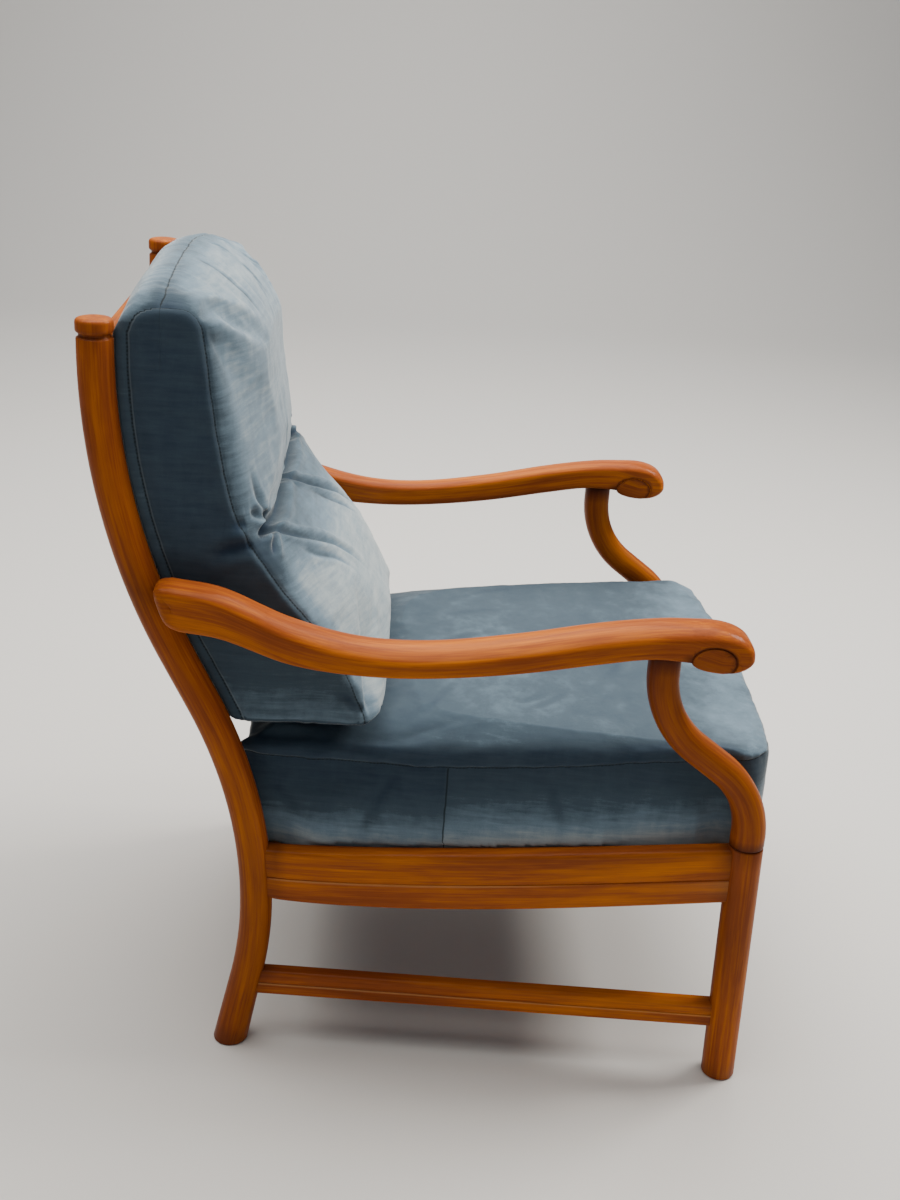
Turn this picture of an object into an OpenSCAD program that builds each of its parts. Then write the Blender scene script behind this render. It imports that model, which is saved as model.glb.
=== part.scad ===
// Lounge chair with a bent wood frame, scroll arms and two loose cushions.
// The sitter faces -Y, +Z is up, and the origin is on the floor at the middle of the chair.
// Lengths are in millimetres. A place's u is its distance forward of the back post axis.

/* [Frame plan] */
// Gap between the seat cushion and a back post
seat_rear_gap = 8; // [6:0.5:12]
// Gap between the seat cushion and an arm support
seat_front_gap = 9.5; // [8:0.5:16]
// Distance from the back post axis forward to the front leg axis
seat_depth = 607; // [590:1:620]

/* [Back posts] */
// Height of the back posts above the floor
post_height = 955; // [945:1:1000]
// Radius of a post above the seat
post_r = 20.5; // [18:0.5:22]
// Radius of a post at the floor
post_foot_r = 22; // [19:0.5:25]
// Height at which the post stands upright
post_upright_z = 213; // [200:1:214]
// Rearward rake of the foot in degrees
foot_rake = 11.5; // [6:0.5:14]
// Radius of the bend into the foot
foot_bend_r = 550; // [450:5:650]
// Lean of the back in degrees
back_lean = 26.4; // [22:0.2:28]
// Radius of the bend behind the lumbar
lumbar_bend_r = 640; // [600:5:680]
// Straight run between the two bends
lean_run = 70; // [20:1:90]
// Upright run below the top of the post
head_run = 40; // [32:1:50]
// Radius of the turned cap
cap_r = 21; // [18:0.5:24]
// Height of the turned cap
cap_h = 15; // [10:0.5:18]
// Height of the groove below the cap
neck_h = 6; // [4:0.5:8]
// Depth of the groove below the cap
neck_depth = 3.2; // [1:0.2:5]

/* [Front legs and arm supports] */
// Radius of a front leg
leg_r = 21.5; // [19:0.5:23]
// Rise of the joint between leg and arm support above the side rail
leg_joint_rise = 4; // [1:0.5:10]
// Forward rake of the front leg in degrees
leg_rake = 1.5; // [0.5:0.25:3]
// Angle of the S bend in the arm support in degrees
support_bend = 53; // [48:0.5:56]
// Radius of the lower bend of the support
support_low_r = 115; // [100:1:120]
// Radius of the upper bend of the support
support_high_r = 125; // [110:1:135]
// Straight run between the support's bends
support_run = 44; // [30:1:50]
// Straight run above the leg joint
support_foot_run = 15; // [8:1:20]
// Straight run below the arm
support_head_run = 23.24; // [18:0.5:30]
// Width of the support at its bends
support_w = 38; // [34:0.5:42]
// Thickness of the support at its bends
support_t = 38; // [34:0.5:42]

/* [Arms] */
// Rise from the arm's lowest underside to the top of the scroll
arm_rise = 79; // [70:1:88]
// Width of the arm at the scroll
arm_w = 52; // [48:0.5:56]
// Width of the arm at its rear end
arm_rear_w = 44; // [40:0.5:46]
// How far the middle of the scroll stands outside the leg axis
arm_front_out = 3.5; // [1.5:0.5:8]
// How far the middle of the arm's rear end stands outside the post axis
arm_rear_out = 26.5; // [24:0.5:30]
// Outward slope of the arm's top
arm_slope = 0.15; // [0:0.01:0.2]
// Edge rounding of the arm's top
arm_top_round = 12; // [8:0.5:14]
// Edge rounding of the arm's underside
arm_low_round = 7; // [4:0.5:9]
// Depth of the groove round the scroll's eye
volute_depth = 1.8; // [0.5:0.1:3]
// Width of the groove round the scroll's eye
volute_w = 2.6; // [1.5:0.1:4]

/* [Rails and slats] */
// Thickness of the side rails
rail_t = 24; // [20:0.5:26]
// Height of the side rail at the back post
rail_rear_h = 72; // [64:1:80]
// Height of the side rail at the front leg
rail_front_h = 77; // [66:1:85]
// Top of the side rail at the back post axis
rail_rear_z = 297; // [292:1:302]
// Top of the side rail at the front leg axis
rail_front_z = 345; // [338:1:345]
// Bow of the side rail's top edge
rail_top_bow = 7.5; // [0:0.5:8]
// Bow of the side rail's lower edge
rail_low_bow = 14.5; // [0:0.5:20]
// Edge rounding of rails and slats
rail_round = 6; // [3:0.5:7]
// Depth of the line cut along the rails
line_depth = 1.5; // [0.5:0.1:2.5]
// Thickness of the front and rear rails
cross_t = 22; // [18:0.5:24]
// Height of the front and rear rails
cross_h = 62; // [54:1:66]
// Height of the side stretchers
stretcher_h = 37; // [30:1:44]
// Thickness of the side stretchers
stretcher_t = 20; // [16:0.5:24]
// Height of the stretcher's lower edge
stretcher_z = 76; // [60:1:90]
// Height of the crest rail
crest_h = 58; // [45:1:62]
// Drop of the crest rail below the top of the posts
crest_drop = 29; // [26:1:50]
// Thickness of the crest rail and slats
slat_t = 16; // [14:0.5:18]
// Height of a back slat
slat_h = 46; // [36:1:56]
// Radius of the dowels
dowel_r = 4; // [3:0.25:4.5]

/* [Seat suspension] */
// Number of rubber webbing straps
strap_count = 6; // [4:1:7]
// Width of a strap
strap_w = 50; // [40:1:56]
// Thickness of a strap
strap_t = 2.5; // [2:0.25:3]
// Wall of the steel clip on a strap's end
clip_wall = 1; // [0.8:0.1:1.4]
// Drop of the straps below the tops of the rails at their ends
seat_drop = 18; // [16:0.5:22]

/* [Seat cushion] */
// Width of the seat cushion between the posts
seat_rear_w = 470; // [430:1:474]
// Width of the seat cushion at its front
seat_front_w = 562; // [540:1:564]
// Overhang of the seat cushion past the front leg axes
seat_overhang = 26; // [14:1:38]
// Height of the seat cushion's boxing
seat_boxing = 124; // [110:1:130]
// Height of the seat cushion at its middle
seat_loft = 166; // [158:1:168]
// How far the boxing bulges past the seams
seat_bulge = 4; // [0.5:0.5:5]
// Bow of the seat cushion's front edge
seat_bow = 10; // [2:1:14]

/* [Back cushion] */
// Gap between the back cushion and an arm
back_side_gap = 3; // [1.5:0.5:14]
// Rise of the back cushion's top seam above the posts
back_rise = 15; // [5:1:30]
// Greatest depth of the side gussets
back_depth = 147; // [135:1:155]
// Crown of the back cushion's front past the side seams
back_front_crown = 34; // [18:1:38]
// Crown of the back cushion's top past the side seams
back_top_crown = 20; // [8:1:26]
// Gap between the posts and the back cushion's rear seams
back_seam_gap = 21; // [16:1:26]
// How far the side gussets bulge
back_bulge = 5; // [0.5:0.5:6]
// Thickness of the cushion covers
cover_t = 1.6; // [1:0.1:2.4]
// Width of the zips
zip_w = 9; // [7:0.5:12]

/* [Hidden] */

// General values
fit = 0.12;             // clearance between wooden faces that meet
soft_gap = 0.5;         // clearance round the cushions
cut = 5;                // overrun of cuts
bent_sides = 24;        // sides of the bent round wood
bend_step = 3;          // degrees between rings in a bend
tight_step = 5;         // degrees between rings in a tight bend
$fn = 64;

// Plain helpers
function lerp(a, b, t) = a + (b - a) * t;
function slope_at(t, i) =
    let (a = t[max(i - 1, 0)], b = t[min(i + 1, len(t) - 1)]) (b[1] - a[1]) / (b[0] - a[0]);
function span_of(t, x, i = 0) = i >= len(t) - 2 || x < t[i + 1][0] ? i : span_of(t, x, i + 1);
// Smooth curve through the points of a table of [place, value]
function smooth(t, x) =
    let (i = span_of(t, x), a = t[i], b = t[i + 1], d = b[0] - a[0], s = (x - a[0]) / d)
    (2 * s * s * s - 3 * s * s + 1) * a[1] + (s * s * s - 2 * s * s + s) * d * slope_at(t, i)
    + (3 * s * s - 2 * s * s * s) * b[1] + (s * s * s - s * s) * d * slope_at(t, i + 1);
// Share of an edge rounding used up at v, where it starts at v0 and ends at 1
function rounding(v, v0) = abs(v) <= v0 ? 0 : 1 - sqrt(max(0, 1 - pow((abs(v) - v0) / (1 - v0), 2)));
function steps(angle, step = bend_step) = max(2, ceil(abs(angle) / step));
// Ring of points moved outward by d
function grown(p, d) =
    let (n = len(p))
    [for (i = [0:n - 1]) let (t = p[(i + 1) % n] - p[(i + n - 1) % n]) p[i] + d * [t[1], -t[0]] / norm(t)];

// Closed solid through rings of equally many points. Where the ends are strips, each point
// of the ring's first half faces one of its second half.
module skin(rings, strip_ends = false) {
    n = len(rings[0]);
    last = (len(rings) - 1) * n;
    sides = [for (i = [0:len(rings) - 2], j = [0:n - 1])
        let (a = i * n + j, b = i * n + (j + 1) % n)
        each [[a, a + n, b], [b, a + n, b + n]]];
    ends = strip_ends
        ? [for (j = [0:n / 2 - 2]) each [[j, j + 1, n - 1 - j], [j + 1, n - 2 - j, n - 1 - j]]]
        : [[for (j = [0:n - 1]) j]];
    polyhedron(
        points = [for (ring = rings) each ring],
        faces = concat(sides, ends, [for (face = ends) [for (j = [len(face) - 1:-1:0]) last + face[j]]])
    );
}

// Section of a bent bar, square to its path in the side view. A lean tips it back,
// w and t are its width and thickness, and n squares it off.
function bar_ring(x, u, z, lean, w, t, n = 2) =
    [for (i = [0:bent_sides - 1])
        let (a = 360 * i / bent_sides,
            px = w / 2 * sign(cos(a)) * pow(abs(cos(a)), 2 / n),
            pu = t / 2 * sign(sin(a)) * pow(abs(sin(a)), 2 / n))
        [x + px, -u + pu * cos(lean), z - pu * sin(lean)]];

// Section of a board standing on the X axis, with round edges and a line cut in its +X face
board_edge_steps = 3;
function board_section(w, h, r, line_z) =
    let (corners = [[w / 2 - r, r, -90], [w / 2 - r, h - r, 0], [-w / 2 + r, h - r, 90], [-w / 2 + r, r, 180]],
        edges = [for (c = corners)
            [for (i = [0:board_edge_steps])
                let (a = c[2] + 90 * i / board_edge_steps) [c[0] + r * cos(a), c[1] + r * sin(a)]]])
    concat(
        edges[0],
        [[w / 2, line_z - line_depth], [w / 2 - line_depth, line_z], [w / 2, line_z + line_depth / 3]],
        edges[1], edges[2], edges[3]
    );
module board(l, w, h, r) {
    translate([-l / 2, 0, 0]) rotate([90, 0, 90]) linear_extrude(l) {
        translate([-w / 2, r]) square([w, h - 2 * r]);
        translate([-w / 2 + r, 0]) square([w - 2 * r, h]);
        for (x = [-w / 2 + r, w / 2 - r], z = [r, h - r]) translate([x, z]) circle(r);
    }
}

// The back post: arcs that it is bent to, and its turned end
post_x = seat_rear_w / 2 + seat_rear_gap + post_r;
leg_x = seat_front_w / 2 + seat_front_gap + support_w / 2;
head_upright_z = post_height - head_run;
foot_bend_z = post_upright_z - foot_bend_r * sin(foot_rake);
foot_bend_u = -foot_bend_r * (1 - cos(foot_rake));
lumbar_end_z = post_upright_z + lumbar_bend_r * sin(back_lean);
lumbar_end_u = -lumbar_bend_r * (1 - cos(back_lean));
head_start_z = lumbar_end_z + lean_run * cos(back_lean);
head_start_u = lumbar_end_u - lean_run * sin(back_lean);
head_bend_r = (head_upright_z - head_start_z) / sin(back_lean);
post_top_u = head_start_u - head_bend_r * (1 - cos(back_lean));
function post_lean(z) =
    z < foot_bend_z ? -foot_rake
    : z < post_upright_z ? -asin((post_upright_z - z) / foot_bend_r)
    : z < lumbar_end_z ? asin((z - post_upright_z) / lumbar_bend_r)
    : z < head_start_z ? back_lean
    : z < head_upright_z ? asin((head_upright_z - z) / head_bend_r)
    : 0;
function post_u(z) =
    let (a = post_lean(z))
    z < foot_bend_z ? foot_bend_u - (foot_bend_z - z) * tan(foot_rake)
    : z < post_upright_z ? -foot_bend_r * (1 - cos(a))
    : z < lumbar_end_z ? -lumbar_bend_r * (1 - cos(a))
    : z < head_start_z ? lumbar_end_u - (z - lumbar_end_z) * tan(back_lean)
    : z < head_upright_z ? post_top_u + head_bend_r * (1 - cos(a))
    : post_top_u;
function post_radius(z) = lerp(post_foot_r, post_r, min(1, z / foot_bend_z));
function post_ring(z, more) =
    let (d = 2 * (post_radius(z) + more)) bar_ring(post_x, post_u(z), z, post_lean(z), d, d);
post_heights = concat(
    [for (i = [0:steps(foot_rake)]) post_upright_z - foot_bend_r * sin(foot_rake * (1 - i / steps(foot_rake)))],
    [for (i = [1:steps(back_lean)]) post_upright_z + lumbar_bend_r * sin(back_lean * i / steps(back_lean))],
    [for (i = [0:steps(back_lean)]) head_upright_z - head_bend_r * sin(back_lean * (1 - i / steps(back_lean)))]
);
cap_edge = cap_h * 0.15;
neck_edge = neck_h * 0.25;
// Turned end: distance below the top against radius
post_turning = [
    [cap_h + neck_h + neck_edge, post_r], [cap_h + neck_h, post_r - neck_edge],
    [cap_h + neck_h - neck_edge, post_r - neck_depth], [cap_h + neck_edge, post_r - neck_depth],
    [cap_h, cap_r - cap_edge], [cap_h - cap_edge, cap_r], [cap_edge, cap_r],
    [cap_edge / 3, cap_r - cap_edge / 3], [0, cap_r - cap_edge]
];

function post_rings(more) =
    let (d = 2 * (post_foot_r + more))
    concat(
        [bar_ring(post_x, post_u(0), 0, 0, d, d / cos(foot_rake))],
        [for (z = post_heights) post_ring(z, more)]
    );
// Stretch of the plain bent rod, which rails, slats and arms are coped to
rod_heights = concat(post_heights, [post_height - post_turning[0][0]]);
module post_rod(more, low, high) {
    last = len(rod_heights) - 1;
    start = post_rings(more)[0];
    rings = [for (i = [0:last]) if (rod_heights[min(i + 1, last)] > low && rod_heights[max(i - 1, 0)] < high)
        post_ring(rod_heights[i], more)];
    skin(low < rod_heights[0] ? concat([start], rings) : rings);
}

// The front leg and the S bend above it
leg_joint_z = rail_front_z + leg_joint_rise;
function leg_u(z) = seat_depth + (leg_joint_z - z) * tan(leg_rake);
joint_edge = leg_r * 0.07;
module leg_rod(more) {
    translate([leg_x, -seat_depth, leg_joint_z]) rotate([-leg_rake, 0, 0])
        translate([0, 0, -leg_joint_z - cut]) cylinder(r = leg_r + more, h = leg_joint_z + cut);
}
low_bend_z = leg_joint_z + support_foot_run;
low_end_z = low_bend_z + support_low_r * sin(support_bend);
low_end_u = seat_depth - support_low_r * (1 - cos(support_bend));
high_start_z = low_end_z + support_run * cos(support_bend);
high_start_u = low_end_u - support_run * sin(support_bend);
high_end_z = high_start_z + support_high_r * sin(support_bend);
high_end_u = high_start_u - support_high_r * (1 - cos(support_bend));
support_top_z = high_end_z + support_head_run;
// The arm takes its place from the support: where its level seat is, as shares of its reach and rise
arm_seat_share = 0.4875;
arm_seat_mid_share = 0.8255;
arm_low_z = support_top_z + fit - arm_seat_share * arm_rise;
arm_reach = high_end_u / arm_seat_mid_share;
arm_front_x = leg_x + arm_front_out;
arm_rear_x = post_x + arm_rear_out;

// The origin sits under the middle of the chair's depth
seat_reach = seat_depth + seat_overhang;
seat_bow_share = 0.22;
function seat_bow_at(x) = seat_bow * (1 - pow(x / (seat_front_w / 2), 2));
middle_u = (seat_reach + seat_bulge + seat_bow_at(seat_bow_share * seat_front_w / 2) + post_top_u - cap_r) / 2;
module place() translate([0, middle_u, 0]) children();
module place_left() place() children();
module place_right() place() mirror([1, 0, 0]) children();

// The seat plane, on which the straps lie
seat_rear_z = rail_rear_z - seat_drop;
seat_tilt = atan((rail_front_z - rail_rear_z) / seat_depth);
rail_angle = atan((leg_x - post_x) / seat_depth);
rail_length = seat_depth / cos(rail_angle);
function rail_inner_x(u) = post_x + u * tan(rail_angle) - rail_t / 2 / cos(rail_angle);
function seat_z(u) = seat_rear_z + u * tan(seat_tilt);
module on_seat_plane() translate([0, 0, seat_rear_z]) rotate([-seat_tilt, 0, 0]) children();

// Heights of the rails and slats, and of the dowels in them
pair_shares = [0.28, 0.72];
clip_t = strap_t + 2 * clip_wall + fit;
kerf_h = clip_t + 2 * fit;
rear_rail_z = seat_z(-cross_t / 2) + strap_t / 2 - cross_h;
front_rail_z = seat_z(seat_depth - cross_t / 2) + strap_t / 2 - cross_h;
side_rear_z = rail_rear_z - rail_rear_h;
side_front_z = rail_front_z - rail_front_h;
stretcher_mid_z = stretcher_z + stretcher_h / 2;
stretcher_run = leg_u(stretcher_mid_z) - post_u(stretcher_mid_z);
stretcher_angle = atan((leg_x - post_x) / stretcher_run);
crest_z = post_height - crest_drop - crest_h;
slat_first_z = seat_rear_z + seat_loft;
slat_pitch = (crest_z - slat_first_z) / 3;
function slat_mid_z(i) = slat_first_z + slat_pitch * i + slat_h / 2;
dowel_depth = post_r * 0.66;
arm_dowel_r = dowel_r * 1.25;
arm_dowel_z = arm_low_z + arm_rise * 0.84;
arm_dowel_x = arm_rear_x - arm_rear_w * 0.33;
post_front_at_arm = post_u(arm_dowel_z)
    + sqrt(post_r * post_r - pow(arm_dowel_x - post_x, 2)) / cos(post_lean(arm_dowel_z));

// Rods along the three directions, from a place on the axis
module rod_x(x, u, z, r, l) translate([x, -u, z]) rotate([0, 90, 0]) cylinder(r = r, h = l);
module rod_u(x, u, z, r, l) translate([x, -u, z]) rotate([90, 0, 0]) cylinder(r = r, h = l);
module rod_z(x, u, z, r, l) translate([x, -u, z]) cylinder(r = r, h = l);

// Dowels of the left half. A bore is the same call with more radius and more depth past both ends.
module side_rail_pins(r, more = 0) {
    for (s = pair_shares) {
        zr = side_rear_z + s * rail_rear_h;
        translate([post_x, -post_u(zr), 0]) rotate([0, 0, rail_angle])
            rod_u(0, post_r - dowel_depth - more, zr, r, 2 * dowel_depth + 2 * more);
        zf = side_front_z + s * rail_front_h - leg_r * tan(seat_tilt);
        translate([leg_x, -leg_u(zf), 0]) rotate([0, 0, rail_angle])
            rod_u(0, -leg_r - dowel_depth - more, zf, r, 2 * dowel_depth + 2 * more);
    }
}
module stretcher_pins(r, more = 0) {
    translate([post_x, -post_u(stretcher_mid_z), 0]) rotate([0, 0, stretcher_angle])
        rod_u(0, post_r - dowel_depth - more, stretcher_mid_z, r, 2 * dowel_depth + 2 * more);
    translate([leg_x, -leg_u(stretcher_mid_z), 0]) rotate([0, 0, stretcher_angle])
        rod_u(0, -leg_r - dowel_depth - more, stretcher_mid_z, r, 2 * dowel_depth + 2 * more);
}
module cross_rail_pins(r, more = 0) {
    for (s = pair_shares) {
        zr = rear_rail_z + s * cross_h;
        rod_x(post_x - post_r - dowel_depth - more, post_u(zr), zr, r, 2 * dowel_depth + 2 * more);
        zf = front_rail_z + s * cross_h;
        rod_x(leg_x - leg_r - dowel_depth - more, leg_u(zf), zf, r, 2 * dowel_depth + 2 * more);
    }
}
module slat_pins(r, more = 0) {
    heights = concat([for (i = [0:2]) slat_mid_z(i)], [for (s = pair_shares) crest_z + s * crest_h]);
    for (z = heights)
        rod_x(post_x - post_r - dowel_depth - more, post_u(z), z, r, 2 * dowel_depth + 2 * more);
}
module arm_rear_pin(r, more = 0)
    rod_u(arm_dowel_x, post_front_at_arm - dowel_depth - more, arm_dowel_z, r, 2 * dowel_depth + 2 * more);
module leg_pin(r, more = 0) {
    depth = dowel_depth * 1.4;
    rod_z(leg_x, seat_depth, leg_joint_z - depth - more, r, 2 * depth + 2 * more);
}
module arm_front_pin(r, more = 0) {
    depth = dowel_depth * 1.4;
    rod_z(leg_x, high_end_u, support_top_z - depth - more, r, 2 * depth + 2 * more);
}

module back_post() {
    color("sienna") difference() {
        skin(concat(
            post_rings(0),
            [for (p = post_turning) bar_ring(post_x, post_top_u, post_height - p[0], 0, 2 * p[1], 2 * p[1])]
        ));
        side_rail_pins(dowel_r + fit, fit);
        stretcher_pins(dowel_r + fit, fit);
        cross_rail_pins(dowel_r + fit, fit);
        slat_pins(dowel_r + fit, fit);
        arm_rear_pin(arm_dowel_r + fit, fit);
    }
}

module front_leg() {
    color("sienna") difference() {
        translate([leg_x, -seat_depth, leg_joint_z]) rotate([-leg_rake, 0, 0])
            translate([0, 0, -leg_joint_z - cut]) cylinder(r = leg_r, h = leg_joint_z + 2 * cut);
        translate([0, -2 * seat_depth, -3 * cut]) cube([2 * leg_x, 2 * seat_depth, 3 * cut]);
        translate([leg_x, -seat_depth, leg_joint_z - 2 * joint_edge]) difference() {
            cylinder(r = leg_r + cut, h = 2 * joint_edge + 2 * cut);
            translate([0, 0, -cut])
                cylinder(r1 = leg_r + joint_edge + cut, r2 = leg_r - joint_edge, h = 2 * joint_edge + cut);
        }
        side_rail_pins(dowel_r + fit, fit);
        stretcher_pins(dowel_r + fit, fit);
        cross_rail_pins(dowel_r + fit, fit);
        leg_pin(arm_dowel_r + fit, fit);
    }
}

// S-bent support from the leg up to the arm. It is round below and softly square above.
support_square = 2.5;
module arm_support() {
    joint_z = leg_joint_z + fit;
    low_steps = steps(support_bend, tight_step);
    color("sienna") difference() {
        skin(concat(
            [bar_ring(leg_x, seat_depth, joint_z, 0, 2 * (leg_r - joint_edge), 2 * (leg_r - joint_edge))],
            [bar_ring(leg_x, seat_depth, joint_z + joint_edge, 0, 2 * leg_r, 2 * leg_r)],
            [for (i = [0:low_steps])
                let (a = support_bend * i / low_steps, s = min(1, i / low_steps * 1.6))
                bar_ring(
                    leg_x, seat_depth - support_low_r * (1 - cos(a)), low_bend_z + support_low_r * sin(a), a,
                    lerp(2 * leg_r, support_w, s), lerp(2 * leg_r, support_t, s), lerp(2, support_square, s)
                )],
            [for (i = [0:low_steps])
                let (a = support_bend * (1 - i / low_steps))
                bar_ring(
                    leg_x, high_end_u + support_high_r * (1 - cos(a)), high_end_z - support_high_r * sin(a), a,
                    support_w, support_t, support_square
                )],
            [bar_ring(leg_x, high_end_u, support_top_z, 0, support_w, support_t, support_square)]
        ));
        leg_pin(arm_dowel_r + fit, fit);
        arm_front_pin(arm_dowel_r + fit, fit);
    }
}

// Side outline of the arm. Forward places are shares of its reach, heights are shares of its rise.
arm_top_share = [
    [-0.170, 1.222], [-0.069, 1.114], [0.069, 0.696], [0.208, 0.449], [0.347, 0.424], [0.52, 0.595],
    [0.693, 0.848], [0.815, 0.975], [0.901, 1]
];
arm_low_share = [
    [-0.152, 0.487], [-0.069, 0.424], [0.069, 0.114], [0.208, 0], [0.347, 0.013], [0.52, 0.152],
    [0.693, 0.38], [0.785, arm_seat_share], [0.87, arm_seat_share]
];
arm_end_share = [[-0.18, 0.582], [-0.196, 0.823], [-0.2045, 1.051], [-0.194, 1.184]];
// Each quarter of the scroll: centre, half sizes and first angle
scroll_share = [[0.901, 0.57, 0.099, 0.43, 90], [0.9463, 0.57, 0.0537, 0.2532, 0], [0.9463, 0.494, 0.0763, 0.177, -90]];
arm_plan_share = [[-0.21, 0], [0, 0.39], [0.208, 0.63], [0.6, 0.85], [1, 1]];
arm_slope_share = [[-0.21, 0], [0.07, 0.6], [0.3, 1], [0.6, 1], [0.9, 0.5], [1, 0.3]];
function scroll_point(k, i, n, power = 2) =
    let (q = scroll_share[k], a = q[4] - 90 * i / n)
    [q[0] + q[2] * sign(cos(a)) * pow(abs(cos(a)), 2 / power), q[1] + q[3] * sign(sin(a)) * pow(abs(sin(a)), 2 / power)];
// Points as [forward share, height share, edge rounding, where the rounding starts, share of the slope]
arm_points = concat(
    [for (i = [0:20]) let (s = lerp(-0.17, 0.901, i / 20)) [s, smooth(arm_top_share, s), arm_top_round, 0.1, 1]],
    [for (i = [1:7])
        let (p = scroll_point(0, i, 7, 2.2))
        [p[0], p[1], lerp(1, 0.8, i / 7) * arm_top_round, lerp(0.1, 0.5, i / 7), 1 - i / 7]],
    [for (i = [1:5])
        let (p = scroll_point(1, i, 5)) [p[0], p[1], lerp(0.8, 0.45, i / 5) * arm_top_round, 0.6, 0]],
    [for (i = [1:5])
        let (p = scroll_point(2, i, 5)) [p[0], p[1], lerp(0.45, 0.05, i / 5) * arm_top_round, 0.75, 0]],
    [for (i = [0:13])
        let (s = i == 0 ? arm_low_share[8][0] : lerp(arm_low_share[7][0], -0.152, (i - 1) / 12))
        [s, smooth(arm_low_share, s), min(1, 0.3 + i) * arm_low_round, 0.72, 0]],
    [for (p = arm_end_share) [p[0], p[1], arm_top_round * 0.85, 0.45, 0]]
);
arm_layers = [-1, -0.975, -0.91, -0.77, -0.5, -0.17, 0.17, 0.5, 0.77, 0.91, 0.975, 1];
arm_outline = [for (p = arm_points) [-p[0] * arm_reach, arm_low_z + p[1] * arm_rise]];
function arm_half_w(s) = lerp(arm_rear_w, arm_w, smooth([[-0.21, 0], [0.208, 0.75], [1, 1]], s)) / 2;
function arm_x(s) = lerp(arm_rear_x, arm_front_x, smooth(arm_plan_share, s));
function arm_middle_z(s) = arm_low_z + arm_rise / 2 * (smooth(arm_top_share, s) + smooth(arm_low_share, s));
// Ring of the arm at v across its width, drawn in to the middle of its height by a share
function arm_ring(v, drawn = 0) =
    let (n = len(arm_points))
    [for (i = [0:n - 1])
        let (p = arm_points[i], t = arm_outline[(i + 1) % n] - arm_outline[(i + n - 1) % n],
            q = arm_outline[i] - p[2] * rounding(v, p[3]) * [t[1], -t[0]] / norm(t),
            w = v * arm_half_w(p[0]),
            z = q[1] - w * p[4] * arm_slope * smooth(arm_slope_share, p[0]),
            s = max(-0.16, min(0.92, p[0])))
        [arm_x(p[0]) + w, lerp(q[0], -s * arm_reach, drawn), lerp(z, arm_middle_z(s), drawn)]];
volute_c = [0.914, 0.506];
volute_share = [0.046, 0.24];
function volute_line(d) =
    [for (i = [0:16])
        let (a = lerp(180, -50, i / 16))
        [-arm_reach * volute_c[0] - (arm_reach * volute_share[0] + d) * cos(a),
            arm_low_z + arm_rise * volute_c[1] + (arm_rise * volute_share[1] + d) * sin(a)]];
module volute(side) {
    line = concat(volute_line(volute_w / 2), [for (i = [16:-1:0]) volute_line(-volute_w / 2)[i]]);
    x = arm_x(volute_c[0]) + side * arm_half_w(volute_c[0]);
    translate([x - (side > 0 ? volute_depth : cut), 0, 0]) rotate([90, 0, 90])
        linear_extrude(volute_depth + cut) polygon(line);
}
module arm() {
    color("chocolate") difference() {
        skin(concat(
            [arm_ring(arm_layers[0], 0.85)],
            [for (v = arm_layers) arm_ring(v)],
            [arm_ring(arm_layers[len(arm_layers) - 1], 0.85)]
        ), true);
        post_rod(fit, arm_low_z, arm_low_z + 1.3 * arm_rise);
        volute(1);
        volute(-1);
        arm_front_pin(arm_dowel_r + fit, fit);
        arm_rear_pin(arm_dowel_r + fit, fit);
    }
}

// Straps in the seat plane, held by clips in kerfs of the side rails
strap_pitch = seat_depth / cos(seat_tilt) / (strap_count + 1);
function strap_end_x(i) = rail_inner_x(strap_pitch * i * cos(seat_tilt)) + rail_t / 3;
clip_l = rail_t * 0.42;
module strap_clip(i)
    on_seat_plane() translate([strap_end_x(i) - clip_l, -strap_pitch * i - strap_w / 2, -clip_t / 2]) difference() {
        cube([clip_l, strap_w, clip_t]);
        translate([-cut, -cut, clip_wall])
            cube([clip_l + cut - clip_wall, strap_w + 2 * cut, strap_t + fit]);
    }
module strap_kerfs() {
    for (i = [1:strap_count])
        on_seat_plane()
            translate([strap_end_x(i) - rail_t, -strap_pitch * i - strap_w / 2 - fit, -kerf_h / 2])
                cube([rail_t + fit, strap_w + 2 * fit, kerf_h]);
}
module seat_straps() {
    color("dimgray") for (i = [1:strap_count])
        on_seat_plane() {
            l = 2 * (strap_end_x(i) - clip_wall - fit);
            translate([-l / 2, -strap_pitch * i - strap_w / 2 + fit, -strap_t / 2]) cube([l, strap_w - 2 * fit, strap_t]);
        }
}
module strap_clips() {
    color("silver") for (i = [1:strap_count], side = [0, 1]) mirror([side, 0, 0]) strap_clip(i);
}

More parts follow.
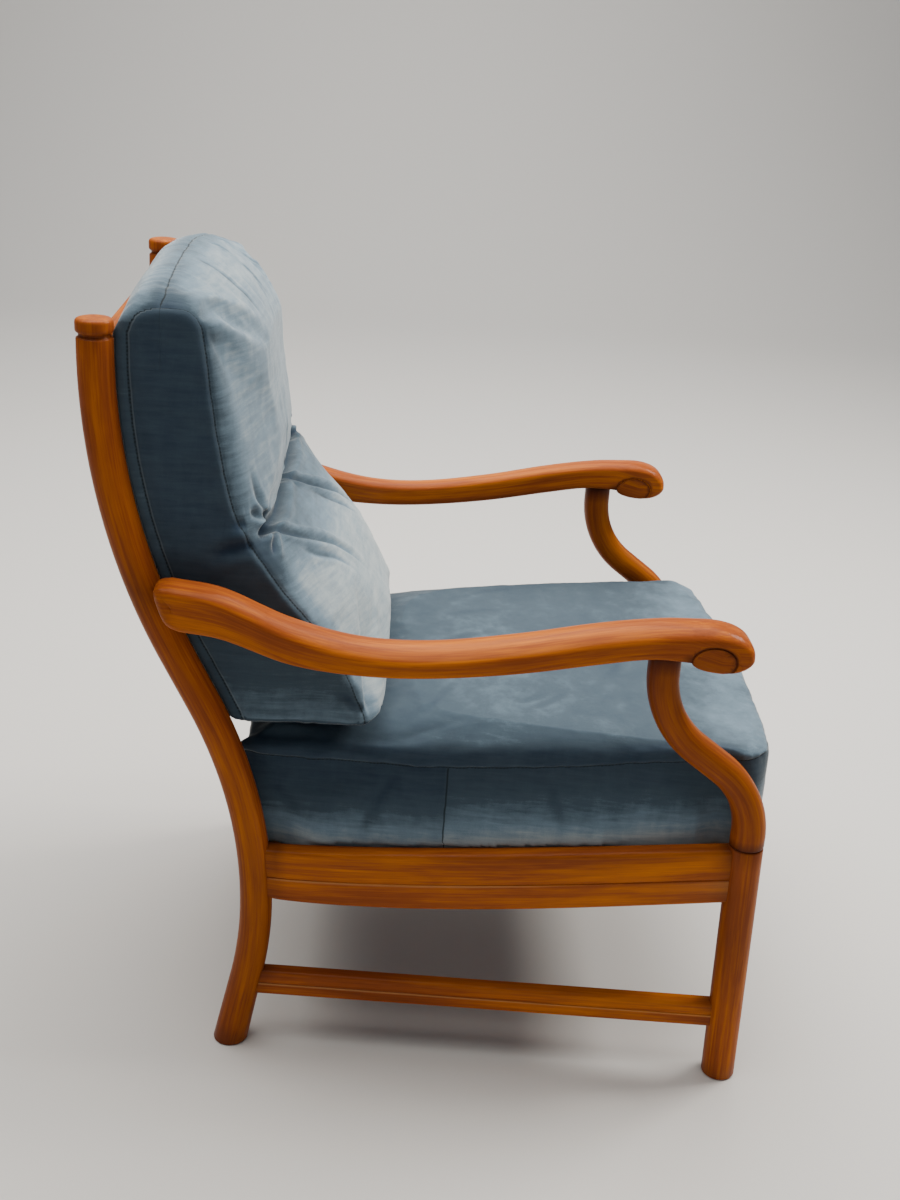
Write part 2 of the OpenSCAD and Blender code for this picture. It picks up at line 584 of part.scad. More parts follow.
// Corner blocks, each screwed to a cross rail and to a side rail
block_l = cross_h * 0.9;
block_t = cross_t * 0.8;
screw_r = dowel_r * 0.5;
screw_head_r = dowel_r;
screw_head_h = dowel_r * 0.6;
screw_bite = rail_t * 0.5;
front_face_u = seat_depth - cross_t / 2 - fit;
rear_face_u = cross_t / 2 + fit;
block_flat = block_l * 0.26;
screw_in = block_l * 0.13;
function corner_face_u(front) = front ? front_face_u : rear_face_u;
function corner_dir(front) = front ? 1 : -1;
function corner_x(front) = front ? leg_x - leg_r * 1.1 : post_x - post_r * 1.2;
function corner_side_u(front) = corner_face_u(front) - corner_dir(front) * (front ? leg_r * 0.85 : post_r);
function corner_z(front) = (front ? front_rail_z : rear_rail_z) + cross_h * 0.15;
module corner_block(front) {
    dir = corner_dir(front);
    face = -corner_face_u(front);
    x = corner_x(front) - block_l;
    side_u = corner_side_u(front);
    end_u = side_u - dir * block_l;
    flat_u = end_u + dir * block_flat;
    edge = fit / cos(rail_angle);
    color("burlywood") difference() {
        translate([0, 0, corner_z(front)]) linear_extrude(cross_h * 0.62) polygon([
            [corner_x(front), face], [x, face], [x, face + dir * block_t], [x + block_flat, face + dir * block_t],
            [rail_inner_x(flat_u) - edge - block_t, -flat_u], [rail_inner_x(end_u) - edge - block_t, -end_u],
            [rail_inner_x(end_u) - edge, -end_u], [rail_inner_x(side_u) - edge, -side_u]
        ]);
        corner_screw_pair(front, screw_r + fit, fit);
    }
}
// Both screw places of a corner, seen along the screw from the block's inner face
module at_corner_screws(front) {
    dir = corner_dir(front);
    z = corner_z(front) + cross_h * 0.31;
    side_u = corner_side_u(front) - dir * (block_l - screw_in);
    translate([corner_x(front) - block_l + screw_in, -corner_face_u(front) + dir * block_t, z])
        rotate([90 * dir, 0, 0]) children();
    translate([rail_inner_x(side_u) - fit, -side_u, z]) rotate([0, 0, rail_angle])
        translate([-block_t, 0, 0]) rotate([0, 90, 0]) children();
}
// The two screws of a corner, without heads
module corner_screw_pair(front, r, more)
    at_corner_screws(front) translate([0, 0, -fit - more]) cylinder(r = r, h = block_t + screw_bite + 2 * more);
module corner_screws() {
    color("silver") for (front = [true, false], side = [0, 1]) mirror([side, 0, 0]) {
        corner_screw_pair(front, screw_r, 0);
        at_corner_screws(front) translate([0, 0, -fit - screw_head_h]) cylinder(r = screw_head_r, h = screw_head_h);
    }
}

// Rails and stretcher
rail_steps = 14;
line_share = 0.465;
function rail_bow(t) = sin(180 * pow(t, 0.75));
function rail_top(t) = lerp(rail_rear_z, rail_front_z, t) - rail_top_bow * rail_bow(t);
function rail_low(t) = lerp(side_rear_z, side_front_z, t) - rail_low_bow * rail_bow(t);
module side_rail() {
    first = post_r * 0.3;
    last = rail_length - leg_r * 0.3;
    color("chocolate") difference() {
        translate([post_x, 0, 0]) rotate([0, 0, rail_angle])
            skin([for (i = [0:rail_steps])
                let (s = lerp(first, last, i / rail_steps), t = s / rail_length,
                    low = rail_low(t), h = rail_top(t) - low)
                [for (p = board_section(rail_t, h, rail_round, line_share * h)) [p[0], -s, low + p[1]]]]);
        post_rod(fit, side_rear_z, rail_rear_z);
        leg_rod(fit);
        side_rail_pins(dowel_r + fit, fit);
        strap_kerfs();
        corner_screw_pair(true, screw_r + fit, fit);
        corner_screw_pair(false, screw_r + fit, fit);
    }
}
module side_stretcher() {
    color("sienna") difference() {
        translate([post_x, -post_u(stretcher_mid_z), stretcher_z]) rotate([0, 0, stretcher_angle])
            skin([for (s = [post_r * 0.3, stretcher_run / cos(stretcher_angle) - leg_r * 0.3])
                [for (p = board_section(stretcher_t, stretcher_h, rail_round, stretcher_h / 2)) [p[0], -s, p[1]]]]);
        post_rod(fit, stretcher_z, stretcher_z + stretcher_h);
        leg_rod(fit);
        stretcher_pins(dowel_r + fit, fit);
    }
}
module both_sides() {
    children();
    mirror([1, 0, 0]) children();
}
module front_rail() {
    color("chocolate") difference() {
        translate([0, -seat_depth, front_rail_z]) board(2 * leg_x - leg_r * 0.6, cross_t, cross_h, rail_round);
        both_sides() {
            leg_rod(fit);
            cross_rail_pins(dowel_r + fit, fit);
            corner_screw_pair(true, screw_r + fit, fit);
        }
    }
}
module rear_rail() {
    color("chocolate") difference() {
        translate([0, 0, rear_rail_z]) board(2 * post_x - post_r * 0.6, cross_t, cross_h, rail_round);
        both_sides() {
            post_rod(fit, rear_rail_z, rear_rail_z + cross_h);
            cross_rail_pins(dowel_r + fit, fit);
            corner_screw_pair(false, screw_r + fit, fit);
        }
    }
}
module slat(z, h) {
    color("chocolate") difference() {
        translate([0, -post_u(z), z]) rotate([-post_lean(z), 0, 0])
            translate([0, 0, -h / 2]) board(2 * post_x - post_r * 0.6, slat_t, h, rail_round);
        both_sides() {
            post_rod(fit, z - h / 2, z + h / 2);
            slat_pins(dowel_r + fit, fit);
        }
    }
}

// Seat cushion: stacked rings. Each is a trapezoid with round corners and a bowed front.
seat_rear_u = -seat_reach * 0.025;
seat_low = strap_t / 2 + soft_gap;
seat_mid_u = seat_reach * 0.5;
seat_crown = seat_loft - seat_boxing * 0.97;
seat_height_share = [
    [-0.04, 1.18], [0.085, 1.177], [0.26, 1.073], [0.403, 1], [0.577, 0.939], [0.82, 0.944],
    [0.97, 1.013], [1.03, 1.03]
];
function seat_half_w(u) = lerp(seat_rear_w, seat_front_w, u / seat_depth) / 2;
seat_front_corner = seat_reach * 0.045;
seat_rear_corner = seat_reach * 0.032;
seat_half_plan = concat(
    [for (s = [seat_bow_share, 0.62]) [s * seat_front_w / 2, -seat_reach - seat_bow_at(s * seat_front_w / 2)]],
    [for (i = [0:4])
        let (x = seat_half_w(seat_reach) - seat_front_corner * (1 - sin(90 * i / 4)))
        [x, -seat_reach - max(0, seat_bow_at(x)) * (1 - i / 4) + seat_front_corner * (1 - cos(90 * i / 4))]],
    [for (s = [0.8, 0.6, 0.4, 0.2]) [seat_half_w(s * seat_reach), -s * seat_reach]],
    [for (i = [0:3])
        [seat_half_w(0) - seat_rear_corner * (1 - cos(90 * i / 3)),
            -seat_rear_u - seat_rear_corner * (1 - sin(90 * i / 3))]],
    [[seat_half_w(0) * 0.35, -seat_rear_u]]
);
seat_plan = concat(seat_half_plan, [for (i = [len(seat_half_plan) - 1:-1:0])
    [-seat_half_plan[i][0], seat_half_plan[i][1]]]);
function seat_seam_z(u) = seat_z(u) + seat_low + seat_boxing * smooth(seat_height_share, u / seat_reach);
// Boxing rows: share of the boxing's height against share of its bulge
boxing_rows_share = [[0.02, 0], [0.12, 0.6], [0.33, 1], [0.67, 1], [0.88, 0.6], [0.98, 0]];
// Top rows: size of the ring against share of the crown
crown_rows_share = [[0.985, 0.12], [0.93, 0.38], [0.82, 0.66], [0.64, 0.87], [0.38, 0.98], [0.1, 1]];
function scaled_plan(p, s) = [for (q = p) [q[0] * s, -seat_mid_u + (q[1] + seat_mid_u) * s]];
function seat_rings(inset) = concat(
    [for (s = [0.5, 0.96])
        [for (q = scaled_plan(grown(seat_plan, -inset), s)) [q[0], q[1], seat_z(-q[1]) + seat_low + inset]]],
    [for (r = boxing_rows_share)
        [for (q = grown(seat_plan, seat_bulge * r[1] - inset))
            let (low = seat_z(-q[1]) + seat_low, high = seat_seam_z(-q[1]))
            [q[0], q[1], lerp(low + inset, high - inset, r[0])]]],
    [for (r = crown_rows_share)
        [for (q = scaled_plan(grown(seat_plan, -inset), r[0]))
            [q[0], q[1], seat_seam_z(-q[1]) + seat_crown * r[1] - inset]]]
);
zip_gap = fit;
seat_zip_l = seat_rear_w * 0.66;
seat_zip_z = seat_z(0) + seat_low + seat_boxing * 0.55;
module seat_zip_bar(more)
    translate([-seat_zip_l / 2 - more, -seat_rear_u + seat_bulge - cover_t - (more > 0 ? cut : 0), seat_zip_z - zip_w / 2 - more])
        cube([seat_zip_l + 2 * more, cover_t + (more > 0 ? 2 * cut : 0), zip_w + 2 * more]);
module seat_cushion_cover() {
    color("slategray") difference() {
        skin(seat_rings(0));
        skin(seat_rings(cover_t));
        seat_zip_bar(zip_gap);
    }
}
module seat_cushion_core() {
    color("khaki") skin(seat_rings(cover_t + soft_gap));
}

// Back cushion: layers across the chair. Its rear follows the posts and rests on the slats.
back_low_z = seat_rear_z + seat_low + seat_loft * 1.125;
// It fits between the arms, from their rear ends to where its front lies
arm_inner_x = min([for (i = [0:6]) let (s = lerp(arm_plan_share[0][0], 0.3, i / 6)) arm_x(s) - arm_half_w(s)]);
back_w = 2 * (arm_inner_x - back_side_gap - back_bulge);
back_h = post_height + back_rise - back_low_z;
function back_rear_u(z) = post_u(z) + post_r / cos(post_lean(z)) + back_seam_gap;
// Side seams: share of the height against depth as a share of the greatest depth
back_front_share = [
    [0.955, 0.517], [0.88, 0.549], [0.76, 0.578], [0.645, 0.599], [0.545, 0.615], [0.487, 0.65],
    [0.44, 0.696], [0.338, 0.82], [0.25, 0.945], [0.16, 1], [0.085, 0.975], [0.016, 0.942]
];
back_top_share = [[0.06, 0.976], [0.18, 0.998], [0.3, 1], [0.41, 0.995], [0.485, 0.978]];
back_rear_share = [0, 0.07, 0.2, 0.34, 0.48, 0.6, 0.72, 0.84, 0.938];
crease_share = [0, 0, 0, 0, 0, 0.32, 0, 0, 0, 0, 0, 0];
// Points as [y, z, rear share, front share, top share, crease share]
back_points = concat(
    [for (s = back_rear_share) let (z = back_low_z + s * back_h) [-back_rear_u(z), z, 1, 0, 0, 0]],
    [for (p = back_top_share)
        [-back_rear_u(back_low_z + 0.938 * back_h) - p[0] * back_depth, back_low_z + p[1] * back_h,
            1 - min(1, p[0] * 3), max(0, p[0] * 1.6 - 0.3), 1, 0]],
    [for (i = [0:len(back_front_share) - 1])
        let (p = back_front_share[i], z = back_low_z + p[0] * back_h)
        [-back_rear_u(z) - p[1] * back_depth, z, 0, 1, i < 2 ? 0.3 * (2 - i) : 0, crease_share[i]]]
);
back_side = [for (p = back_points) [p[0], p[1]]];
// Layers: share of half the width against drawing in of the gusset and share of the crown
back_layers_share = [
    [1, 0.5, 0], [0.9, 0.2, 0], [0.6, 0.06, 0], [0, 0, 0], [-0.035, 0, 0.55], [-0.1, 0, 0.78],
    [-0.23, 0, 0.86], [-0.46, 0, 0.94], [-0.73, 0, 0.98], [-1, 0, 1]
];
rear_touch = slat_h * slat_h / 8 / lumbar_bend_r + soft_gap;
function back_centre(z) = let (s = back_low_z + min(0.86, max(0.14, (z - back_low_z) / back_h)) * back_h)
    [-back_rear_u(s) - back_depth * (s > back_low_z + back_h / 2 ? 0.3 : 0.45), s];
function back_layer(q, side, inset) =
    let (wide = back_w / 2 * min(1, 1 + q[0]) - inset, flat = grown(back_side, -inset),
        rear = 1 - pow(wide / (back_w / 2), 4))
    [for (i = [0:len(back_points) - 1])
        let (p = back_points[i], c = back_centre(p[1]), lean = post_lean(p[1]),
            x = wide + back_bulge * max(0, q[0]) * lerp(0.6, 1, sin(180 * (p[1] - back_low_z) / back_h)),
            back = max(0, rear) * ((post_r - slat_t / 2) / cos(lean) + back_seam_gap - rear_touch),
            y = flat[i][0] + p[2] * back - p[3] * back_front_crown * q[2] * (1 - p[5]),
            z = flat[i][1] + p[4] * back_top_crown * q[2])
        [side * x, lerp(y, c[0], q[1]), lerp(z, c[1], q[1])]];
back_last = len(back_layers_share) - 1;
function back_rings(inset) = concat(
    [for (i = [0:back_last]) back_layer(back_layers_share[i], -1, inset)],
    [for (i = [back_last - 1:-1:0]) back_layer(back_layers_share[i], 1, inset)]
);
back_zip_l = back_w * 0.5;
back_zip_a = back_side[len(back_side) - 1];
back_zip_b = back_side[0];
back_zip_tilt = atan((back_zip_a[1] - back_zip_b[1]) / (back_zip_b[0] - back_zip_a[0]));
module back_zip_bar(more)
    translate([0, (back_zip_a[0] + back_zip_b[0]) / 2, (back_zip_a[1] + back_zip_b[1]) / 2])
        rotate([-back_zip_tilt, 0, 0])
            translate([-back_zip_l / 2 - more, -zip_w / 2 - more, -(more > 0 ? cut : 0)])
                cube([back_zip_l + 2 * more, zip_w + 2 * more, cover_t + (more > 0 ? 2 * cut : 0)]);
module back_cushion_cover() {
    color("slategray") difference() {
        skin(back_rings(0), true);
        skin(back_rings(cover_t), true);
        back_zip_bar(zip_gap);
    }
}
module back_cushion_core() {
    color("khaki") skin(back_rings(cover_t + soft_gap), true);
}

module dowels() color("tan") children();

place() back_post();  // back_post_left
place_right() back_post();  // back_post_right
place() front_leg();  // front_leg_left
place_right() front_leg();  // front_leg_right
place() arm_support();  // arm_support_left
place_right() arm_support();  // arm_support_right
place() arm();  // arm_left
place_right() arm();  // arm_right
place() side_rail();  // side_rail_left
place_right() side_rail();  // side_rail_right
place() side_stretcher();  // side_stretcher_left
place_right() side_stretcher();  // side_stretcher_right
place() front_rail();
place() rear_rail();
place() slat(crest_z + crest_h / 2, crest_h);  // crest_rail
place() slat(slat_mid_z(2), slat_h);  // back_slat_upper
place() slat(slat_mid_z(1), slat_h);  // back_slat_middle
place() slat(slat_mid_z(0), slat_h);  // back_slat_lower
place() corner_block(true);  // corner_block_front_left
place_right() corner_block(true);  // corner_block_front_right
place() corner_block(false);  // corner_block_rear_left
place_right() corner_block(false);  // corner_block_rear_right
place() corner_screws();
place() both_sides() dowels() leg_pin(arm_dowel_r);  // leg_dowels
place() both_sides() dowels() arm_front_pin(arm_dowel_r);  // arm_front_dowels
place() both_sides() dowels() arm_rear_pin(arm_dowel_r);  // arm_rear_dowels
place() both_sides() dowels() side_rail_pins(dowel_r);  // side_rail_dowels
place() both_sides() dowels() cross_rail_pins(dowel_r);  // cross_rail_dowels
place() both_sides() dowels() stretcher_pins(dowel_r);  // stretcher_dowels
place() both_sides() dowels() slat_pins(dowel_r);  // slat_dowels
place() seat_straps();
place() strap_clips();
place() seat_cushion_cover();
place() seat_cushion_core();
place() color("gray") seat_zip_bar(0);  // seat_zip
place() back_cushion_cover();
place() back_cushion_core();
place() color("gray") back_zip_bar(0);  // back_zip
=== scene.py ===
import math

import bmesh
import bpy
from mathutils import Matrix, Vector, noise
from mathutils.kdtree import KDTree


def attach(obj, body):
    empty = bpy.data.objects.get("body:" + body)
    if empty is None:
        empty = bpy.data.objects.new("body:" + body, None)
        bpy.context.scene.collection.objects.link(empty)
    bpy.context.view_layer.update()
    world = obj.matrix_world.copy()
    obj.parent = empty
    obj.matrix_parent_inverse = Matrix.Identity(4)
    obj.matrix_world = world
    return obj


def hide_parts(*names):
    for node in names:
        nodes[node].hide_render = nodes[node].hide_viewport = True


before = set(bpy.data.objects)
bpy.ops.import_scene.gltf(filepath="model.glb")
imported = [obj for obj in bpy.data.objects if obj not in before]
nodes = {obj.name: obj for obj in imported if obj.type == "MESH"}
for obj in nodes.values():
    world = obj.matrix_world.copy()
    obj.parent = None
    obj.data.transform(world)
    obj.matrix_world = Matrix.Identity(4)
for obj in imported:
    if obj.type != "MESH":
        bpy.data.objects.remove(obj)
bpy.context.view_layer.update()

# The chair's plan in metres. "forward" runs from the back post axis towards the sitter's knees.
plan = {"postX": 0.2635, "legX": 0.3095, "seatDepth": 0.607, "middle": 0.22222}


def place(x, forward, z):
    return Vector((x, plan["middle"] - forward, z))


def forwardOf(p):
    return plan["middle"] - p.y


def lerp(a, b, t):
    return a + (b - a) * t


def smoothStep(t):
    t = max(0.0, min(1.0, t))
    return t * t * (3 - 2 * t)


def bell(x, width):  # 1 at nought and falling away on both sides
    return math.exp(-(x / width) ** 2)


def bumps(x, y, z):
    return noise.noise(Vector((x, y, z)))


def cubic(a, b, slopeA, slopeB, t, reach=1.0):  # from a to b with a slope at each end
    return ((2 * t**3 - 3 * t**2 + 1) * a + (t**3 - 2 * t**2 + t) * reach * slopeA
            + (3 * t**2 - 2 * t**3) * b + (t**3 - t**2) * reach * slopeB)


def through(table, x):  # smooth curve through (place, value) pairs
    last = len(table) - 1
    i = 0
    while i < last - 1 and x >= table[i + 1][0]:
        i += 1

    def slopeAt(k):
        a, b = table[max(k - 1, 0)], table[min(k + 1, last)]
        return (b[1] - a[1]) / (b[0] - a[0])

    (xa, ya), (xb, yb) = table[i], table[i + 1]
    d = xb - xa
    return cubic(ya, yb, slopeAt(i), slopeAt(i + 1), (x - xa) / d, d)


def deselect():
    if bpy.context.object and bpy.context.object.mode != "OBJECT":
        bpy.ops.object.mode_set(mode="OBJECT")
    bpy.ops.object.select_all(action="DESELECT")


def pick(obj):
    deselect()
    obj.select_set(True)
    bpy.context.view_layer.objects.active = obj


def editAll(obj, tool, **values):  # one mesh tool on the whole piece
    pick(obj)
    bpy.ops.object.mode_set(mode="EDIT")
    bpy.ops.mesh.select_all(action="SELECT")
    tool(**values)
    bpy.ops.object.mode_set(mode="OBJECT")


def finishWith(obj, kind, **values):  # add a modifier and apply it
    pick(obj)
    mod = obj.modifiers.new(kind.title(), kind)
    for key, value in values.items():
        setattr(mod, key, value)
    bpy.ops.object.modifier_apply(modifier=mod.name)


def loft(name, rings):
    # Each ring is a list of (point, grain). The first is a circle laid out afresh, the rest are extruded.
    deselect()
    bpy.ops.mesh.primitive_circle_add(vertices=len(rings[0]), fill_type="NGON")
    obj = bpy.context.object
    obj.name = obj.data.name = name
    bpy.ops.object.mode_set(mode="EDIT")
    shape = bmesh.from_edit_mesh(obj.data)
    order = shape.verts.layers.int.new("order")
    row = shape.verts.layers.int.new("row")
    for i, v in enumerate(shape.verts):
        v[order] = i
    for k, ring in enumerate(rings):
        if k:
            bpy.ops.mesh.extrude_region_move()
            shape = bmesh.from_edit_mesh(obj.data)
            order = shape.verts.layers.int["order"]
            row = shape.verts.layers.int["row"]
        for v in shape.verts:
            if v.select:
                v.co = ring[v[order]][0]
                v[row] = k
    bpy.ops.object.mode_set(mode="OBJECT")
    editAll(obj, bpy.ops.mesh.normals_make_consistent, inside=False)
    orders = obj.data.attributes["order"].data
    rows = obj.data.attributes["row"].data
    grains = [rings[rows[i].value][orders[i].value][1] for i in range(len(obj.data.vertices))]
    obj.data.attributes.remove(obj.data.attributes["order"])
    obj.data.attributes.remove(obj.data.attributes["row"])
    grain = obj.data.attributes.new("grain", "FLOAT_VECTOR", "POINT")
    for i, g in enumerate(grains):
        grain.data[i].vector = g
    return obj


def smoothShade(obj, angle=38):
    pick(obj)
    bpy.ops.object.shade_smooth_by_angle(angle=math.radians(angle))


def mirrored(obj, name):  # the same piece for the other side
    pick(obj)
    bpy.ops.object.duplicate()
    twin = bpy.context.object
    twin.name = twin.data.name = name
    bpy.ops.transform.mirror(constraint_axis=(True, False, False), center_override=(0, 0, 0))
    bpy.ops.object.transform_apply(location=True, rotation=True, scale=True)
    editAll(twin, bpy.ops.mesh.normals_make_consistent, inside=False)
    return twin


def standFor(obj, nodeNames, body="frame"):
    for node in nodeNames:
        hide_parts(node)
    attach(obj, body)


def setMaterial(obj, material):
    obj.data.materials.clear()
    obj.data.materials.append(material)


def woodPair(obj, stem, node, angle=38):  # finishes a left piece and makes the right one
    smoothShade(obj, angle)
    setMaterial(obj, stainedWood)
    twin = mirrored(obj, stem + "Right")
    obj.name = obj.data.name = stem + "Left"
    smoothShade(twin, angle)
    standFor(obj, [node + "_left"])
    standFor(twin, [node + "_right"])


# The camera stands where the photograph was taken from
camera = {
    "at": (-1.8623, 0.09622, 1.310), "right": (-0.0356, -0.99757, 0.05986),
    "up": (0.38752, 0.04143, 0.92093), "lens": 44.25,
}
eye = bpy.data.cameras.new("photoView")
eye.lens = camera["lens"]
eye.sensor_width = 36
eye.clip_start, eye.clip_end = 0.05, 40
eyeObj = bpy.data.objects.new("photoView", eye)
bpy.context.scene.collection.objects.link(eyeObj)
right, up = Vector(camera["right"]).normalized(), Vector(camera["up"]).normalized()
back = right.cross(up).normalized()
up = back.cross(right)
turn = Matrix((right, up, back)).transposed().to_4x4()
turn.translation = camera["at"]
eyeObj.matrix_world = turn
bpy.context.scene.camera = eyeObj
print("camera is set")


# Wood and the materials
class Graph:  # short hand for adding and joining shader nodes
    def __init__(self, tree):
        self.tree = tree

    def add(self, kind, **values):
        node = self.tree.nodes.new(kind)
        for key, value in values.items():
            setattr(node, key, value)
        return node

    def link(self, source, target):
        self.tree.links.new(source, target)

    def feed(self, value, sock):  # a link, or else a plain value or colour
        if hasattr(value, "is_linked"):
            self.link(value, sock)
        else:
            sock.default_value = (*value, 1) if isinstance(value, tuple) else value

    def noiseAt(self, vector, scale, detail=4.0, rough=0.55, distortion=0.0):
        node = self.add("ShaderNodeTexNoise")
        self.link(vector, node.inputs["Vector"])
        values = {"Scale": scale, "Detail": detail, "Roughness": rough, "Distortion": distortion}
        for key, value in values.items():
            self.feed(value, node.inputs[key])
        return node.outputs["Fac"]

    def attribute(self, name, output="Fac"):
        return self.add("ShaderNodeAttribute", attribute_name=name).outputs[output]

    def ownPlace(self):
        return self.add("ShaderNodeTexCoord").outputs["Object"]

    def mapped(self, vector, **values):
        node = self.add("ShaderNodeMapping")
        for key, value in values.items():
            node.inputs[key].default_value = value
        self.link(vector, node.inputs["Vector"])
        return node.outputs[0]

    def waves(self, direction, scale, distortion=0.0):
        node = self.add("ShaderNodeTexWave", wave_type="BANDS", bands_direction=direction)
        node.inputs["Scale"].default_value = scale
        node.inputs["Distortion"].default_value = distortion
        self.link(self.ownPlace(), node.inputs["Vector"])
        return node.outputs["Fac"]

    def bump(self, height, strength, distance):
        node = self.add("ShaderNodeBump")
        node.inputs["Strength"].default_value = strength
        node.inputs["Distance"].default_value = distance
        self.link(height, node.inputs["Height"])
        return node.outputs[0]

    def ramp(self, value, stops):
        node = self.add("ShaderNodeValToRGB")
        self.link(value, node.inputs["Fac"])
        cells = node.color_ramp.elements
        while len(cells) < len(stops):
            cells.new(0.5)
        for cell, (at, colour) in zip(cells, stops):
            cell.position = at
            cell.color = (*colour, 1)
        return node.outputs["Color"]

    def spread(self, value, low, high, toLow=0.0, toHigh=1.0):
        node = self.add("ShaderNodeMapRange", clamp=True)
        self.link(value, node.inputs["Value"])
        for key, number in (("From Min", low), ("From Max", high), ("To Min", toLow), ("To Max", toHigh)):
            node.inputs[key].default_value = number
        return node.outputs["Result"]

    def sums(self, operation, a, b):
        node = self.add("ShaderNodeMath", operation=operation)
        for sock, value in zip(node.inputs, (a, b)):
            self.feed(value, sock)
        return node.outputs[0]

    def weighed(self, a, weightA, b, weightB):
        return self.sums("ADD", self.sums("MULTIPLY", a, weightA), self.sums("MULTIPLY", b, weightB))

    def mix(self, factor, a, b):
        node = self.add("ShaderNodeMix", data_type="RGBA")
        for key, value in ((0, factor), (6, a), (7, b)):
            self.feed(value, node.inputs[key])
        return node.outputs[2]


def startGroup(name, source, outputs):  # gives the group, its graph, its input and its output node
    group = bpy.data.node_groups.new(name, "ShaderNodeTree")
    kind = "NodeSocketVector" if source == "Vector" else "NodeSocketFloat"
    group.interface.new_socket(name=source, in_out="INPUT", socket_type=kind)
    for output in outputs:
        group.interface.new_socket(name=output, in_out="OUTPUT", socket_type="NodeSocketFloat")
    g = Graph(group)
    return group, g, g.add("NodeGroupInput").outputs[source], g.add("NodeGroupOutput")


def makeGrainGroup():
    # Grain runs along the vector's third axis
    group, g, source, result = startGroup("woodGrain", "Vector", ("Streaks", "Clouds", "Pores"))
    long = g.mapped(source, Scale=(1, 1, 0.035))
    soft = g.mapped(source, Scale=(1, 1, 0.22))
    fine = g.noiseAt(long, 420.0, 3.0, 0.6, 0.2)
    broad = g.noiseAt(long, 95.0, 3.0, 0.55, 0.6)
    g.link(g.weighed(fine, 0.4, broad, 0.6), result.inputs["Streaks"])
    g.link(g.noiseAt(soft, 14.0, 4.0, 0.55, 0.4), result.inputs["Clouds"])
    g.link(g.spread(g.noiseAt(long, 1300.0, 2.0, 0.5), 0.62, 0.75), result.inputs["Pores"])
    return group


grainGroup = makeGrainGroup()

woodLooks = {
    "dark": (0.068, 0.0150, 0.0065), "vein": (0.17, 0.036, 0.0100), "middle": (0.30, 0.070, 0.0140),
    "light": (0.66, 0.190, 0.0060), "lipHighlight": (0.62, 0.30, 0.10), "rough": (0.34, 0.44), "coat": 0.10,
    "shine": 0.03, "bump": 0.04,
}


def newMaterial(name):
    mat = bpy.data.materials.new(name)
    mat.use_nodes = True
    return mat, Graph(mat.node_tree), mat.node_tree.nodes["Principled BSDF"]


def woodMaterial(name, looks, turned=None):
    # Grain from the piece's own attribute, or along the board when a turn brings its length to the third axis
    mat, g, shader = newMaterial(name)
    vector = g.attribute("grain", "Vector") if turned is None else g.mapped(g.ownPlace(), Rotation=turned)
    grain = g.add("ShaderNodeGroup", node_tree=grainGroup)
    g.link(vector, grain.inputs["Vector"])
    tone = g.weighed(grain.outputs["Streaks"], 0.55, grain.outputs["Clouds"], 0.45)
    colour = g.ramp(tone, [(0.30, looks["vein"]), (0.46, looks["middle"]), (0.66, looks["light"])])
    colour = g.mix(g.sums("MULTIPLY", grain.outputs["Pores"], 0.35), colour, looks["dark"])
    if turned is None:
        # Darker by stain, and by painted shade in the cut lines, at joints and under the parts that overhang
        colour = g.mix(g.attribute("stainAndShade"), colour, looks["dark"])
        # Painted highlight: the lower lip of each cut line is painted pale
        colour = g.mix(g.attribute("lipHighlight"), colour, looks["lipHighlight"])
    g.link(colour, shader.inputs["Base Color"])
    g.link(g.spread(grain.outputs["Clouds"], 0.3, 0.7, *looks["rough"]), shader.inputs["Roughness"])
    shader.inputs["Specular IOR Level"].default_value = looks["shine"]
    shader.inputs["Coat Weight"].default_value = looks["coat"]
    shader.inputs["Coat Roughness"].default_value = 0.10
    g.link(g.bump(grain.outputs["Streaks"], looks["bump"], 0.0004), shader.inputs["Normal"])
    return mat


across, upright = (0, math.pi / 2, 0), (0, 0, 0)
stainedWood = woodMaterial("stainedWood", woodLooks)
stainedAcross = woodMaterial("stainedWoodAcross", woodLooks, across)
paleLooks = {
    "dark": (0.30, 0.17, 0.08), "vein": (0.34, 0.20, 0.10), "middle": (0.48, 0.31, 0.16),
    "light": (0.60, 0.43, 0.25), "rough": (0.5, 0.7), "coat": 0.0, "shine": 0.3, "bump": 0.2,
}
paleWood = woodMaterial("innerWood", paleLooks, across)
dowelWood = woodMaterial("dowelWood", paleLooks, upright)


def layerOf(obj, name):
    return obj.data.attributes.get(name) or obj.data.attributes.new(name, "FLOAT", "POINT")


def addWoodMask(obj, amount, name="stainAndShade"):
    # How far each point is darkened by stain and painted shade, or painted pale as a highlight, as a function
    # of its place
    layer = layerOf(obj, name)
    for i, v in enumerate(obj.data.vertices):
        layer.data[i].value = max(0.0, min(1.0, amount(v.co)))


# Back posts: a round rod bent behind foot, lumbar and head, with a turned cap
post = {
    "top": 0.955, "radius": 0.0205, "footRadius": 0.022, "uprightZ": 0.213, "footRake": 11.5,
    "footBend": 0.55, "lean": 26.4, "lumbarBend": 0.64, "leanRun": 0.07, "headUprightZ": 0.915,
    "capRadius": 0.021, "capHeight": 0.015, "neckHeight": 0.006, "neckDepth": 0.0032,
    "thinAt": 0.103, "clear": 0.0010,
}


